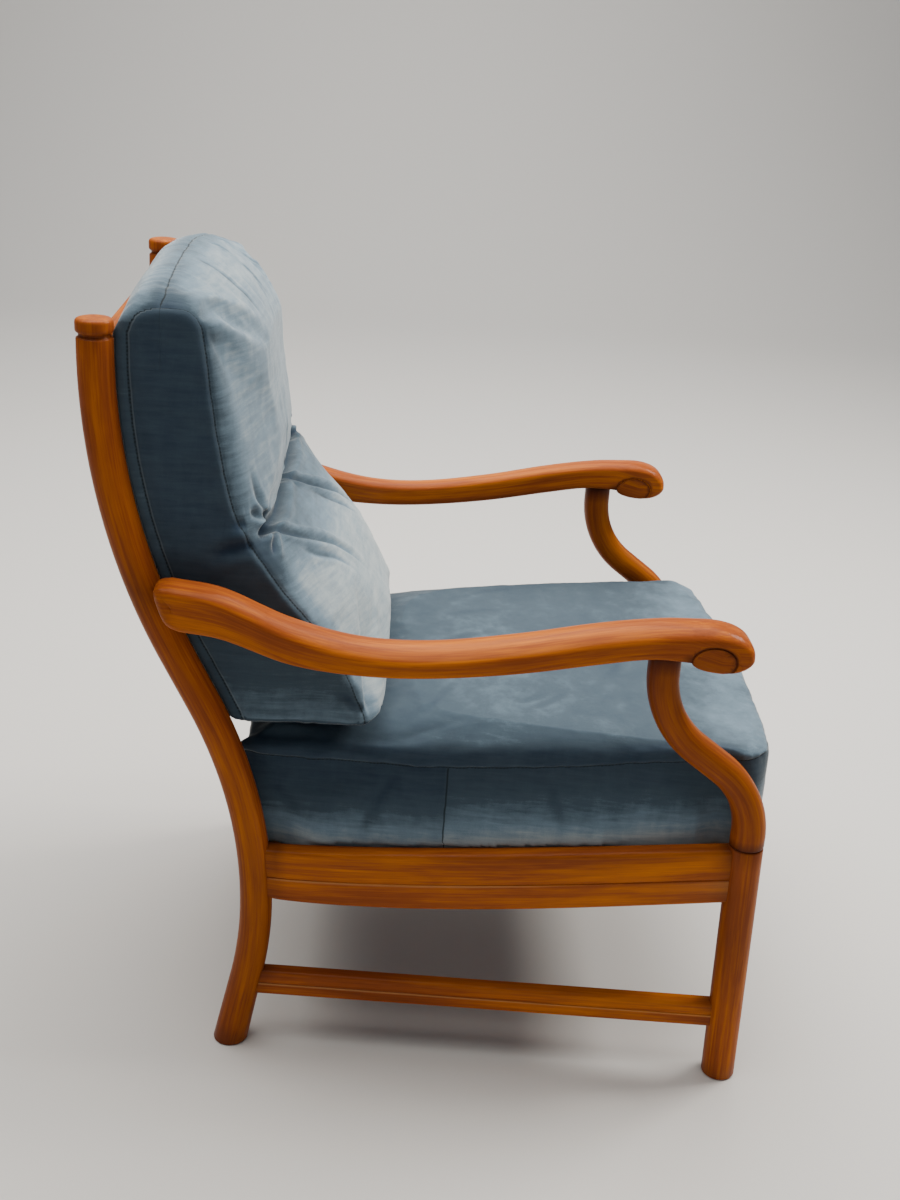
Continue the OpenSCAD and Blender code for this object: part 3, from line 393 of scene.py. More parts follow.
def bentPath(settings):
    s = settings
    rake, lean = math.radians(s["footRake"]), math.radians(s["lean"])
    footZ = s["uprightZ"] - s["footBend"] * math.sin(rake)
    footU = -s["footBend"] * (1 - math.cos(rake))
    lumbarZ = s["uprightZ"] + s["lumbarBend"] * math.sin(lean)
    lumbarU = -s["lumbarBend"] * (1 - math.cos(lean))
    headZ = lumbarZ + s["leanRun"] * math.cos(lean)
    headU = lumbarU - s["leanRun"] * math.sin(lean)
    headBend = (s["headUprightZ"] - headZ) / math.sin(lean)
    topU = headU - headBend * (1 - math.cos(lean))

    def leanAt(z):
        if z < footZ:
            return -rake
        if z < s["uprightZ"]:
            return -math.asin((s["uprightZ"] - z) / s["footBend"])
        if z < lumbarZ:
            return math.asin((z - s["uprightZ"]) / s["lumbarBend"])
        if z < headZ:
            return lean
        if z < s["headUprightZ"]:
            return math.asin((s["headUprightZ"] - z) / headBend)
        return 0.0

    def forwardAt(z):
        a = leanAt(z)
        if z < footZ:
            return footU - (footZ - z) * math.tan(rake)
        if z < s["uprightZ"]:
            return -s["footBend"] * (1 - math.cos(a))
        if z < lumbarZ:
            return -s["lumbarBend"] * (1 - math.cos(a))
        if z < headZ:
            return lumbarU - (z - lumbarZ) * math.tan(lean)
        if z < s["headUprightZ"]:
            return topU + headBend * (1 - math.cos(a))
        return topU

    return forwardAt, leanAt


postForward, postLean = bentPath(post)


def barRing(x, forward, z, lean, width, thick, along, square=2.0, sides=40):
    ring = []
    for i in range(sides):
        a = 2 * math.pi * i / sides
        px = width / 2 * math.copysign(abs(math.cos(a)) ** (2 / square), math.cos(a))
        pt = thick / 2 * math.copysign(abs(math.sin(a)) ** (2 / square), math.sin(a))
        ring.append((place(x + px, forward - pt * math.cos(lean), z - pt * math.sin(lean)), (px, pt, along)))
    return ring


def postRadius(z):
    return lerp(post["footRadius"], post["radius"], min(1, z / post["thinAt"]))


def clearOfPost(x, z, u):  # brings a point of a cushion forward, out of the back post
    aside = abs(x) - plan["postX"]
    if abs(aside) >= post["radius"]:
        return u
    out = math.sqrt(post["radius"] ** 2 - aside**2) / math.cos(postLean(z))
    return max(u, postForward(z) + out + post["clear"])


def makePost():
    s = post
    rings = []
    edge = 0.0022
    for z, less in ((0.0, -edge), (edge * 0.3, -edge * 0.3), (edge, 0.0)):
        r = s["footRadius"] + less
        deep = 2 * r / math.cos(math.radians(s["footRake"]))
        rings.append(barRing(plan["postX"], postForward(z), z, 0, 2 * r, deep, z))
    z = 0.03
    capFoot = s["top"] - s["capHeight"] - s["neckHeight"] - 0.002
    while z < capFoot - 0.004:
        r = postRadius(z)
        rings.append(barRing(plan["postX"], postForward(z), z, postLean(z), 2 * r, 2 * r, z))
        z += 0.0125
    r, cap, neck = s["radius"], s["capRadius"], s["neckDepth"]
    topDown = [(0.0, r - 0.0002), (0.0012, r - 0.0006), (0.0020, r - 0.0018), (0.0028, r - neck * 0.86),
               (0.0044, r - neck), (0.0062, r - neck * 0.8), (0.0070, r - 0.0016), (0.0078, cap - 0.0009),
               (0.0092, cap - 0.0001), (0.0125, cap), (0.0178, cap), (0.0200, cap - 0.0004),
               (0.0214, cap - 0.0014), (0.0222, cap - 0.0028), (0.0228, cap - 0.0052), (0.0230, cap - 0.0105)]
    for up, radius in topDown:
        z = capFoot + up
        rings.append(barRing(plan["postX"], postForward(z), min(z, s["top"]), 0, 2 * radius, 2 * radius, z))
    return loft("backPost", rings)


postLeft = makePost()
capDark = post["top"] - 0.0185
addWoodMask(postLeft, lambda p: 0.5 * bell(p.z - capDark, 0.0045)
         + 0.30 * bell(p.z, 0.010) + 0.20 * smoothStep((0.30 - abs(p.z - 0.18)) / 0.30) + 0.15
         + 0.35 * bell(p.z - 0.64, 0.03) * smoothStep((p.x - 0.262) / 0.02))
woodPair(postLeft, "backPost", "back_post")
print("back posts done")

# Front legs and the S-bent supports above them
leg = {"radius": 0.0215, "jointZ": 0.349, "rake": 1.5, "edge": 0.0024}
fitGap = 0.00012  # between wooden pieces that meet
support = {
    "bend": 53, "lowRadius": 0.115, "highRadius": 0.125, "run": 0.044, "footRun": 0.015,
    "width": 0.038, "thick": 0.038, "square": 2.5, "topZ": 0.6054,
}


def legForward(z):
    return plan["seatDepth"] + (leg["jointZ"] - z) * math.tan(math.radians(leg["rake"]))


def makeLeg():
    r, edge = leg["radius"], leg["edge"]
    rings = []
    rows = [(0, r - edge), (edge * 0.3, r - edge * 0.35), (edge, r)]
    rows += [(z, r) for z in (0.03, 0.09, 0.15, 0.21, 0.27, 0.32, 0.3465)]
    rows += [(0.3477, r - 0.0004), (0.3486, r - 0.0011), (0.349, r - 0.0020)]
    for z, radius in rows:
        rings.append(barRing(plan["legX"], legForward(z), z, 0, 2 * radius, 2 * radius, z + 1.3, sides=48))
    return loft("frontLeg", rings)


legLeft = makeLeg()
addWoodMask(legLeft, lambda p: 0.75 * bell(p.z - 0.349, 0.003) + 0.3 * bell(p.z, 0.012)
         + 0.35 * smoothStep((0.16 - abs(p.z - 0.22)) / 0.16))
woodPair(legLeft, "frontLeg", "front_leg")


def makeSupport():
    s = support
    x, r = plan["legX"], leg["radius"]
    rings, along = [], 0.5
    jointZ = leg["jointZ"] + fitGap
    for up, less in [(0, 0.0020), (0.0004, 0.0011), (0.0013, 0.0004), (0.0026, 0)]:
        wide = 2 * (r - less)
        rings.append(barRing(x, plan["seatDepth"], jointZ + up, 0, wide, wide, along + up))
    bend = math.radians(s["bend"])
    lowZ = leg["jointZ"] + s["footRun"]
    along += s["footRun"]
    count = 18
    for i in range(count + 1):
        a = bend * i / count
        t = min(1, i / count * 1.6)
        u, z = plan["seatDepth"] - s["lowRadius"] * (1 - math.cos(a)), lowZ + s["lowRadius"] * math.sin(a)
        rings.append(barRing(x, u, z, a, lerp(2 * r, s["width"], t), lerp(2 * r, s["thick"], t),
                             along + s["lowRadius"] * a, lerp(2, s["square"], t)))
    along += s["lowRadius"] * bend
    endZ = lowZ + s["lowRadius"] * math.sin(bend)
    endU = plan["seatDepth"] - s["lowRadius"] * (1 - math.cos(bend))
    startZ = endZ + s["run"] * math.cos(bend)
    startU = endU - s["run"] * math.sin(bend)
    topZ = startZ + s["highRadius"] * math.sin(bend)
    topU = startU - s["highRadius"] * (1 - math.cos(bend))
    for i in range(1, 4):
        t = i / 4
        rings.append(barRing(x, lerp(endU, startU, t), lerp(endZ, startZ, t), bend, s["width"], s["thick"],
                             along + s["run"] * t, s["square"]))
    along += s["run"]
    for i in range(count + 1):
        a = bend * (1 - i / count)
        u, z = topU + s["highRadius"] * (1 - math.cos(a)), topZ - s["highRadius"] * math.sin(a)
        rings.append(barRing(x, u, z, a, s["width"], s["thick"], along + s["highRadius"] * (bend - a),
                             s["square"]))
    rings.append(barRing(x, topU, s["topZ"], 0, s["width"], s["thick"], along + 0.14, s["square"]))
    return loft("armSupport", rings)


supportLeft = makeSupport()
# Darker at the joint with the leg and in the upper part; at the top, painted shade under the arm
addWoodMask(supportLeft, lambda p: 0.85 * bell(p.z - 0.350, 0.003)
         + 0.60 * smoothStep((p.z - 0.585) / 0.022) + 0.22 * smoothStep((p.z - 0.50) / 0.09) + 0.25)
woodPair(supportLeft, "armSupport", "arm_support")
print("legs and supports done")

# Arms: one outline from the side, rounded more on top than below, with a scroll at the front
arm = {
    "reach": 0.577, "lowZ": 0.567, "rise": 0.079, "width": 0.052, "rearWidth": 0.044,
    "frontX": 0.313, "rearX": 0.290, "slope": 0.15, "topRound": 0.012, "lowRound": 0.007,
    "volute": (0.914, 0.506, 0.046, 0.24), "voluteWidth": 0.0013, "voluteRing": (0.0265, 0.019),
}
armTop = [(-0.17, 1.222), (-0.069, 1.114), (0.069, 0.696), (0.208, 0.449), (0.347, 0.424), (0.52, 0.595),
          (0.693, 0.848), (0.815, 0.975), (0.901, 1.0)]
armLow = [(-0.152, 0.487), (-0.069, 0.424), (0.069, 0.114), (0.208, 0.0), (0.347, 0.013), (0.52, 0.152),
          (0.693, 0.38), (0.785, 0.4875), (0.87, 0.4875)]
armEnd = [(-0.152, 0.487), (-0.18, 0.582), (-0.196, 0.823), (-0.2045, 1.051), (-0.194, 1.184), (-0.17, 1.222)]
armScroll = [(0.901, 0.57, 0.099, 0.43, 90), (0.9463, 0.57, 0.0537, 0.2532, 0),
             (0.9463, 0.494, 0.0763, 0.177, -90)]


def scrollPoint(k, t, power=2.0):
    cx, cz, rx, rz, first = armScroll[k]
    a = math.radians(first - 90 * t)
    return (cx + rx * math.copysign(abs(math.cos(a)) ** (2 / power), math.cos(a)),
            cz + rz * math.copysign(abs(math.sin(a)) ** (2 / power), math.sin(a)))


def armContour():
    # forward share, height share, edge rounding, where it starts, share of the slope
    top, low = arm["topRound"], arm["lowRound"]
    points = []
    for i in range(61):
        s = lerp(-0.17, 0.901, i / 60)
        points.append((s, through(armTop, s), top, 0.1, 1))
    for i in range(1, 17):
        t = i / 16
        points.append((*scrollPoint(0, t, 2.2), lerp(1, 0.8, t) * top, lerp(0.1, 0.5, t), 1 - t))
    for i in range(1, 11):
        t = i / 10
        points.append((*scrollPoint(1, t), lerp(0.8, 0.45, t) * top, 0.6, 0))
    for i in range(1, 13):
        t = i / 12
        points.append((*scrollPoint(2, t), lerp(0.45, 0.05, t) * top, 0.75, 0))
    for i in range(45):
        s = lerp(0.868, -0.152, i / 44)
        t = smoothStep((i - 32) / 12)
        edge = lerp(min(1, 0.15 + 0.3 * i) * low, 0.85 * top, t)
        points.append((s, through(armLow, s), edge, lerp(0.72, 0.45, t), 0))
    for i in range(1, 16):
        t = i / 3.2
        k = min(int(t), 4)
        f = t - k
        a, b = armEnd[k], armEnd[min(k + 1, 5)]
        before, after = armEnd[max(k - 1, 0)], armEnd[min(k + 2, 5)]
        both = [cubic(a[j], b[j], (b[j] - before[j]) / 2, (after[j] - a[j]) / 2, f) for j in (0, 1)]
        t = smoothStep((i - 4) / 12)
        points.append((both[0], both[1], lerp(0.85, 1, t) * top, lerp(0.45, 0.1, t), t))
    return points


def rounding(v, start):
    if abs(v) <= start:
        return 0.0
    return 1 - math.sqrt(max(0.0, 1 - ((abs(v) - start) / (1 - start)) ** 2))


def armX(s):
    share = through([(-0.21, 0), (0, 0.39), (0.208, 0.63), (0.6, 0.85), (1, 1)], s)
    return lerp(arm["rearX"], arm["frontX"], share)


def armHalf(s):
    return lerp(arm["rearWidth"], arm["width"], through([(-0.21, 0), (0.208, 0.75), (1, 1)], s)) / 2


def armRing(contour, v, drawn=0.0):
    n = len(contour)
    flat = [(-p[0] * arm["reach"], arm["lowZ"] + p[1] * arm["rise"]) for p in contour]
    ring = []
    for i, p in enumerate(contour):
        ty = flat[(i + 1) % n][0] - flat[i - 1][0]
        tz = flat[(i + 1) % n][1] - flat[i - 1][1]
        size = math.hypot(ty, tz)
        inset = p[2] * rounding(v, p[3])
        y = flat[i][0] - inset * tz / size
        z = flat[i][1] + inset * ty / size
        w = v * armHalf(p[0])
        slope = through([(-0.21, 0), (0.07, 0.6), (0.3, 1), (0.6, 1), (0.9, 0.5), (1, 0.3)], p[0])
        z -= w * p[4] * arm["slope"] * slope
        s = max(-0.165, min(0.93, p[0]))
        middle = arm["lowZ"] + arm["rise"] / 2 * (through(armTop, s) + through(armLow, s))
        if s > 0.87:
            middle = lerp(middle, arm["lowZ"] + arm["rise"] * 0.62, (s - 0.87) / 0.06)
        y, z = lerp(y, -s * arm["reach"], drawn), lerp(z, middle, drawn)
        x = armX(p[0]) + w
        ring.append((place(x, -y, z), (w, z - middle, -y)))
    return ring


def makeArm():
    contour = armContour()
    layers = [0, 0.17, 0.34, 0.5, 0.62, 0.72, 0.8, 0.87, 0.92, 0.955, 0.98, 0.994, 1.0]
    rings = [armRing(contour, -1, d) for d in (0.9, 0.6, 0.3)]
    rings += [armRing(contour, -v) for v in reversed(layers[1:])]
    rings += [armRing(contour, v) for v in layers]
    rings += [armRing(contour, 1, d) for d in (0.3, 0.6, 0.9)]
    obj = loft("armRest", rings)
    # Without this the narrow end faces fill with folds
    editAll(obj, bpy.ops.mesh.quads_convert_to_tris, ngon_method="BEAUTY")
    return obj


def voluteLine():  # a thin rod along the scroll's carved line, to be cut from both faces
    cs, cz, rs, rz = arm["volute"]
    tools = []
    for side in (-1, 1):
        line = []
        for i in range(49):
            a = math.radians(lerp(186, -62, i / 48))
            grow = 1 + 0.10 * (i / 48 - 0.5)
            line.append((arm["reach"] * (cs + rs * grow * math.cos(a)),
                         arm["lowZ"] + arm["rise"] * (cz + rz * grow * math.sin(a))))
        x = armX(cs) + side * armHalf(cs)
        rings = []
        for i, (u, z) in enumerate(line):
            a, b = line[max(i - 1, 0)], line[min(i + 1, 48)]
            du, dz = b[0] - a[0], b[1] - a[1]
            size = math.hypot(du, dz)
            r = arm["voluteWidth"] * min(1, 0.35 + i / 6, 0.35 + (48 - i) / 6)
            ring = []
            for j in range(10):
                t = 2 * math.pi * j / 10
                out = r * math.cos(t)
                spot = place(x + r * 1.1 * math.sin(t), u + out * dz / size, z - out * du / size)
                ring.append((spot, (0, 0, 0)))
            rings.append(ring)
        tools.append(loft("voluteTool", rings))
    return tools


armLeft = makeArm()
tools = voluteLine()
for tool in tools:
    finishWith(armLeft, "BOOLEAN", object=tool, operation="DIFFERENCE", solver="EXACT")
finishWith(armLeft, "BOOLEAN", object=postLeft, operation="DIFFERENCE", solver="EXACT")
for tool in tools:
    bpy.data.objects.remove(tool)
volCentre = place(0, arm["reach"] * arm["volute"][0], arm["lowZ"] + arm["rise"] * arm["volute"][1])


def armStainAndShade(p):
    forward = forwardOf(p)
    reachY, reachZ = arm["voluteRing"]
    off = math.hypot((p.y - volCentre.y) / reachY, (p.z - volCentre.z) / reachZ)
    onFace = abs(p.x - 0.311) > 0.0235
    # Darker along the carved line round the eye and over the eye
    ring = bell(off - 1.0, 0.085) if onFace else 0
    eyeTone = 0.22 * smoothStep((1.15 - off) / 0.3) if onFace else 0
    # Painted shade under the arm where the support meets it
    under = 0.35 * bell(forward - 0.476, 0.03) * smoothStep((0.612 - p.z) / 0.006)
    return 0.8 * ring + eyeTone + under + 0.28 * smoothStep((-0.085 - forward) / 0.03)


addWoodMask(armLeft, armStainAndShade)
woodPair(armLeft, "armRest", "arm", 40)
print("arms done")

# Rails with a line cut along the outer face
rail = {
    "thick": 0.024, "rearZ": 0.297, "frontZ": 0.345, "rearHeight": 0.072, "frontHeight": 0.077,
    "topBow": 0.0075, "lowBow": 0.0145, "round": 0.006, "line": 0.465, "lineDepth": 0.0011,
    "lineWidth": 0.0013,
}


def boardSection(w, h, r, lineZ, depth, half):
    points = []
    corners = [(w / 2 - r, r, -90), (w / 2 - r, h - r, 0), (-w / 2 + r, h - r, 90), (-w / 2 + r, r, 180)]
    for k, (cx, cz, first) in enumerate(corners):
        for i in range(7):
            a = math.radians(first + 90 * i / 6)
            points.append((cx + r * math.cos(a), cz + r * math.sin(a)))
        if k == 0:
            face = w / 2
            points += [(face, lineZ - 3 * half), (face, lineZ - half),
                       (face - depth * 0.7, lineZ - half * 0.55),
                       (face - depth, lineZ), (face - depth * 0.55, lineZ + half * 0.55),
                       (face - 0.0002, lineZ + half * 1.1), (face, lineZ + 3 * half)]
    return points


def besideRound(radius, x):  # where a board ends at a round piece, x off its middle
    return math.sqrt((radius + fitGap) ** 2 - x * x)


def railBow(t):
    return math.sin(math.pi * max(0.0, min(1.0, t)) ** 0.75)


def railEdges(t):  # heights of the lower and upper edge at a share of the length
    low = lerp(rail["rearZ"] - rail["rearHeight"], rail["frontZ"] - rail["frontHeight"], t)
    top = lerp(rail["rearZ"], rail["frontZ"], t)
    return low - rail["lowBow"] * railBow(t), top - rail["topBow"] * railBow(t)


def makeSideRail():
    s = rail
    angle = math.atan((plan["legX"] - plan["postX"]) / plan["seatDepth"])
    rings = []
    count = 44
    for k in range(count + 1):
        ring = []
        t = k / count
        low, top = railEdges(t)
        h = top - low
        for x, z in boardSection(s["thick"], h, s["round"], s["line"] * h, s["lineDepth"], s["lineWidth"]):
            first = postForward(low + z) + besideRound(post["radius"], x) / math.cos(postLean(low + z))
            last = legForward(low + z) / math.cos(angle) - besideRound(leg["radius"], x)
            at = lerp(first, last, t)
            ring.append((place(plan["postX"] + x * math.cos(angle) + at * math.sin(angle),
                               at * math.cos(angle) - x * math.sin(angle), low + z), (x, z - h / 2, at + 3)))
        rings.append(ring)
    return loft("sideRail", rings)


# Darker towards both ends: stain at the joints, and painted shade there
def endDark(p, first, last, reach=0.012):
    forward = forwardOf(p)
    return bell(forward - first, reach) + bell(last - forward, reach)


sideRailLeft = makeSideRail()


def railStainAndShade(p):
    low, top = railEdges(forwardOf(p) / plan["seatDepth"])
    line = bell(p.z - lerp(low, top, rail["line"]) - 0.0003, 0.0007)
    # Painted shade in the cut line and along the top, under the seat cushion's overhang; stain and painted
    # shade at both ends
    return 0.45 * endDark(p, 0.02, 0.588) + 0.35 * line + 0.40 * smoothStep((p.z - top + 0.010) / 0.010)


def railLipHighlight(p):  # painted highlight: the lower lip of the line is painted pale
    low, top = railEdges(forwardOf(p) / plan["seatDepth"])
    lipGlint = 0.55 * bell(p.z - lerp(low, top, rail["line"]) + rail["lineWidth"], 0.0006)
    return lipGlint if p.x > plan["postX"] else 0


addWoodMask(sideRailLeft, railStainAndShade)
addWoodMask(sideRailLeft, railLipHighlight, "lipHighlight")
woodPair(sideRailLeft, "sideRail", "side_rail", 30)

stretcher = {"z": 0.076, "height": 0.037, "thick": 0.020, "round": 0.005, "line": 0.0011}
midZ = stretcher["z"] + stretcher["height"] / 2


def makeStretcher():
    s = stretcher
    startU = postForward(midZ)
    angle = math.atan((plan["legX"] - plan["postX"]) / (legForward(midZ) - startU))
    rings = []
    for k in range(25):
        t = k / 24
        ring = []
        for x, z in boardSection(s["thick"], s["height"], s["round"], midZ - s["z"], s["line"], s["line"]):
            height = s["z"] + z
            beside = besideRound(postRadius(height), x) / math.cos(postLean(height))
            first = (postForward(height) - startU) + beside
            last = (legForward(height) - startU) / math.cos(angle) - besideRound(leg["radius"], x)
            at = lerp(first, last, t)
            ring.append((place(plan["postX"] + x * math.cos(angle) + at * math.sin(angle),
                               startU + at * math.cos(angle) - x * math.sin(angle), height), (x, z, at + 5)))
        rings.append(ring)
    return loft("sideStretcher", rings)


def stretcherStainAndShade(p):
    line = bell(p.z - midZ - 0.0003, 0.0007)
    # Painted shade in the cut line; stain and painted shade at both ends; darker along the top edge
    return 0.4 * endDark(p, 0.005, 0.592) + 0.3 * line + 0.30 * smoothStep((p.z - 0.103) / 0.008)


def stretcherLipHighlight(p):
    # Painted highlight: the lower lip of the line is painted pale
    return 0.5 * bell(p.z - midZ + stretcher["line"], 0.0006) if p.x > plan["postX"] else 0


stretcherLeft = makeStretcher()
addWoodMask(stretcherLeft, stretcherStainAndShade)
addWoodMask(stretcherLeft, stretcherLipHighlight, "lipHighlight")
woodPair(stretcherLeft, "sideStretcher", "side_stretcher", 30)
print("rails and stretchers done")


# Cushions: each starts a little small, is blown up as cloth and then gets its seams and creases
def grownOutline(points, by):  # grows a clockwise outline and shrinks the other kind
    out = []
    n = len(points)
    for i, p in enumerate(points):
        a, b = points[i - 1], points[(i + 1) % n]
        tx, tu = b[0] - a[0], b[1] - a[1]
        size = math.hypot(tx, tu)
        out.append((p[0] - by * tu / size, p[1] + by * tx / size))
    return out


def blowUp(obj, settings, pinned):
    # Cloth with pressure from a plain voxel mesh; pinned(point) from 0, free, to 1, held
    finishWith(obj, "REMESH", mode="VOXEL", voxel_size=settings["voxel"])
    finishWith(obj, "SMOOTH", factor=0.5, iterations=2)
    start = [v.co.copy() for v in obj.data.vertices]
    group = obj.vertex_groups.new(name="held")
    for v in obj.data.vertices:
        weight = pinned(v.co)
        if weight > 0.01:
            group.add([v.index], weight, "REPLACE")
    pick(obj)
    mod = obj.modifiers.new("Cloth", "CLOTH")
    cloth = mod.settings
    cloth.quality = 5
    cloth.mass = 0.3
    cloth.tension_stiffness = cloth.compression_stiffness = 15
    cloth.shear_stiffness = 5
    cloth.bending_stiffness = 0.5
    cloth.use_pressure = True
    cloth.uniform_pressure_force = settings["pressure"]
    cloth.effector_weights.gravity = 0
    cloth.vertex_group_mass = "held"
    cloth.pin_stiffness = 1
    for step in range(1, 21):
        bpy.context.scene.frame_set(step)
    shaped = obj.evaluated_get(bpy.context.evaluated_depsgraph_get())
    ends = [v.co.copy() for v in shaped.data.vertices]
    obj.modifiers.remove(mod)
    bpy.context.scene.frame_set(1)
    most = 0
    for v, a, b in zip(obj.data.vertices, start, ends):
        move = b - a
        most = max(most, move.length)
        if move.length > settings["cap"]:
            move *= settings["cap"] / move.length
        v.co = a + move
    print("blown up by at most", round(most * 1000, 1), "mm")
    finishWith(obj, "SMOOTH", factor=0.4, iterations=2)
    finishWith(obj, "SUBSURF", levels=1, render_levels=1)


def drawEdges(obj, lines, reach=0.015):
    # Smoothing rounds the seams off: the cloth beside a seam is drawn back to the seam's own line
    spots = []
    for line in lines:
        for (a, sideA), (b, sideB) in zip(line, line[1:]):
            steps = max(1, round((b - a).length / 0.003))
            spots += [a.lerp(b, i / steps) for i in range(steps)]
    obj.data.update()
    bpy.context.view_layer.update()
    near = [obj.closest_point_on_mesh(p)[1].copy() for p in spots]
    tree = KDTree(len(spots))
    for i, p in enumerate(near):
        tree.insert(p, i)
    tree.balance()
    moves = []
    for v in obj.data.vertices:
        found = tree.find_n(v.co, 4)
        total = sum(1 / (d + 0.002) for co, i, d in found)
        move = sum(((spots[i] - near[i]) / (d + 0.002) for co, i, d in found), Vector()) / total
        moves.append(move * math.exp(-(found[0][2] / reach) ** 2))
    for v, move in zip(obj.data.vertices, moves):
        v.co += move


def treeOf(lines):  # nearest place on any of some lines; each line is a list of (point, side vector)
    spots = []
    for line in lines:
        run = 0.0
        for i in range(len(line) - 1):
            (a, sideA), (b, sideB) = line[i], line[i + 1]
            gap = (b - a).length
            count = max(1, round(gap / 0.0015))
            for j in range(count):
                t = j / count
                spots.append((a.lerp(b, t), sideA.lerp(sideB, t), run + gap * t))
            run += gap
        spots.append((*line[-1], run))
    tree = KDTree(len(spots))
    for i, spot in enumerate(spots):
        tree.insert(spot[0], i)
    tree.balance()
    return tree, spots


def markLines(obj, lines, gapName, runName=None, reach=0.04):
    tree, spots = treeOf(lines)
    gaps = layerOf(obj, gapName)
    runs = layerOf(obj, runName) if runName else None
    for v in obj.data.vertices:
        co, i, dist = tree.find(v.co)
        point, side, run = spots[i]
        gap = min(dist, reach)
        gaps.data[v.index].value = gap if (v.co - point).dot(side) > 0 else -gap
        if runs:
            runs.data[v.index].value = run


def onSurface(obj, points, spacing=0.004):  # a smooth line through points, laid on the piece
    line = []
    for i in range(len(points) - 1):
        p0, p1 = Vector(points[max(i - 1, 0)]), Vector(points[i])
        p2, p3 = Vector(points[i + 1]), Vector(points[min(i + 2, len(points) - 1)])
        count = max(2, round((p2 - p1).length / spacing))
        for j in range(count + (1 if i == len(points) - 2 else 0)):
            t = j / count
            at = 0.5 * (2 * p1 + (p2 - p0) * t + (2 * p0 - 5 * p1 + 4 * p2 - p3) * t**2
                        + (3 * p1 - p0 - 3 * p2 + p3) * t**3)
            found, near, normal, face = obj.closest_point_on_mesh(at)
            line.append(near.copy() if found else at)
    return line


def pushOut(obj, moves):  # each point along its normal
    normals = [v.normal.copy() for v in obj.data.vertices]
    for v, n, m in zip(obj.data.vertices, normals, moves):
        v.co += n * m


def pressFolds(obj, folds):
    # folds: (points, depth, width, lip, taper at the start and end as shares of the length)
    laid = [([(p, Vector()) for p in onSurface(obj, points)], *shape) for points, *shape in folds]
    shade = layerOf(obj, "creaseShade")
    moves = [0.0] * len(obj.data.vertices)
    for line, depth, width, lip, startTaper, endTaper in laid:
        tree, spots = treeOf([line])
        total = spots[-1][2]
        middle = sum((p for p, side in line), Vector()) / len(line)
        reach = max((p - middle).length for p, side in line) + width * 5
        for v in obj.data.vertices:
            if (v.co - middle).length > reach:
                continue
            co, i, dist = tree.find(v.co)
            if dist > width * 5:
                continue
            t = spots[i][2] / total
            taper = smoothStep(t / startTaper) * smoothStep((1 - t) / endTaper)
            moves[v.index] -= depth * taper * (bell(dist, width) - lip * bell(dist - 2.1 * width, width))
            # painted shade in the crease
            shade.data[v.index].value += taper * bell(dist, width * 0.8)
    pushOut(obj, moves)


def puckerSeams(obj, lines, s):
    # Each seam is drawn in and the cloth beside it gathers; gives every point's distance from the seams
    markLines(obj, lines, "seamGap", "seamRun")
    gaps, runs = [[d.value for d in layerOf(obj, name).data] for name in ("seamGap", "seamRun")]
    moves = []
    for v, g, r in zip(obj.data.vertices, gaps, runs):
        x = v.co.x * s["drift"]
        fine = bumps(r * s["finePitch"], s["fineSeed"], x * 3) * math.exp(-abs(g) / 0.011) * s["fine"]
        broad = bumps(r * s["broadPitch"], g * 14, s["broadSeed"] + x) * math.exp(-abs(g) / s["reach"])
        moves.append(-s["groove"] * bell(g, 0.0032) + fine + broad * 0.0016)
    pushOut(obj, moves)
    return gaps


# Seat cushion
seat = {
    "rearZ": 0.279, "slope": 0.07908, "low": 0.00175, "boxing": 0.124, "rearWidth": 0.470,
    "frontWidth": 0.562, "reach": 0.633, "bow": 0.014, "bulge": 0.004, "frontCorner": 0.034,
    "rearCorner": 0.020, "start": 0.003, "voxel": 0.0058, "pressure": 4.0, "cap": 0.022, "joinAt": 0.235,
}
seatHeights = [(-0.04, 1.085), (0, 1.074), (0.1, 1), (0.166, 0.975), (0.3, 0.915), (0.411, 0.893),
               (0.52, 0.895), (0.654, 0.92), (0.774, 0.965), (0.88, 0.99), (0.97, 1.013), (1.03, 1.03)]
# Height of the top along the middle: it is pressed low under the back cushion and full in front of it
seatTop = [(-0.03, 0.4575), (0.12, 0.461), (0.15, 0.463), (0.19, 0.471), (0.24, 0.479), (0.3, 0.483),
           (0.4, 0.488), (0.5, 0.4935), (0.57, 0.493), (0.67, 0.482)]
# Share of the rise from the seam to the top, against the share of the plan: at the sides and at the front
seatSideCrown = [(0, 1), (0.3, 0.99), (0.5, 0.965), (0.68, 0.92), (0.8, 0.86), (0.88, 0.78), (0.93, 0.68),
                 (0.96, 0.56), (0.98, 0.44), (1, 0.40)]
seatFrontCrown = [(0, 1), (0.3, 1), (0.5, 0.99), (0.64, 0.96), (0.74, 0.89), (0.82, 0.77), (0.9, 0.54),
                  (0.95, 0.34), (0.985, 0.15), (1, 0)]
seatBoxing = [(0, 0), (0.02, 0.1), (0.12, 0.6), (0.33, 1), (0.67, 1), (0.88, 0.6), (0.98, 0.1), (1, 0)]


def seatHalf(u):
    return lerp(seat["rearWidth"], seat["frontWidth"], u / plan["seatDepth"]) / 2


def seatFloor(u):
    return seat["rearZ"] + seat["slope"] * u + seat["low"]


def seatSeam(u):
    return seatFloor(u) + seat["boxing"] * through(seatHeights, u / seat["reach"])


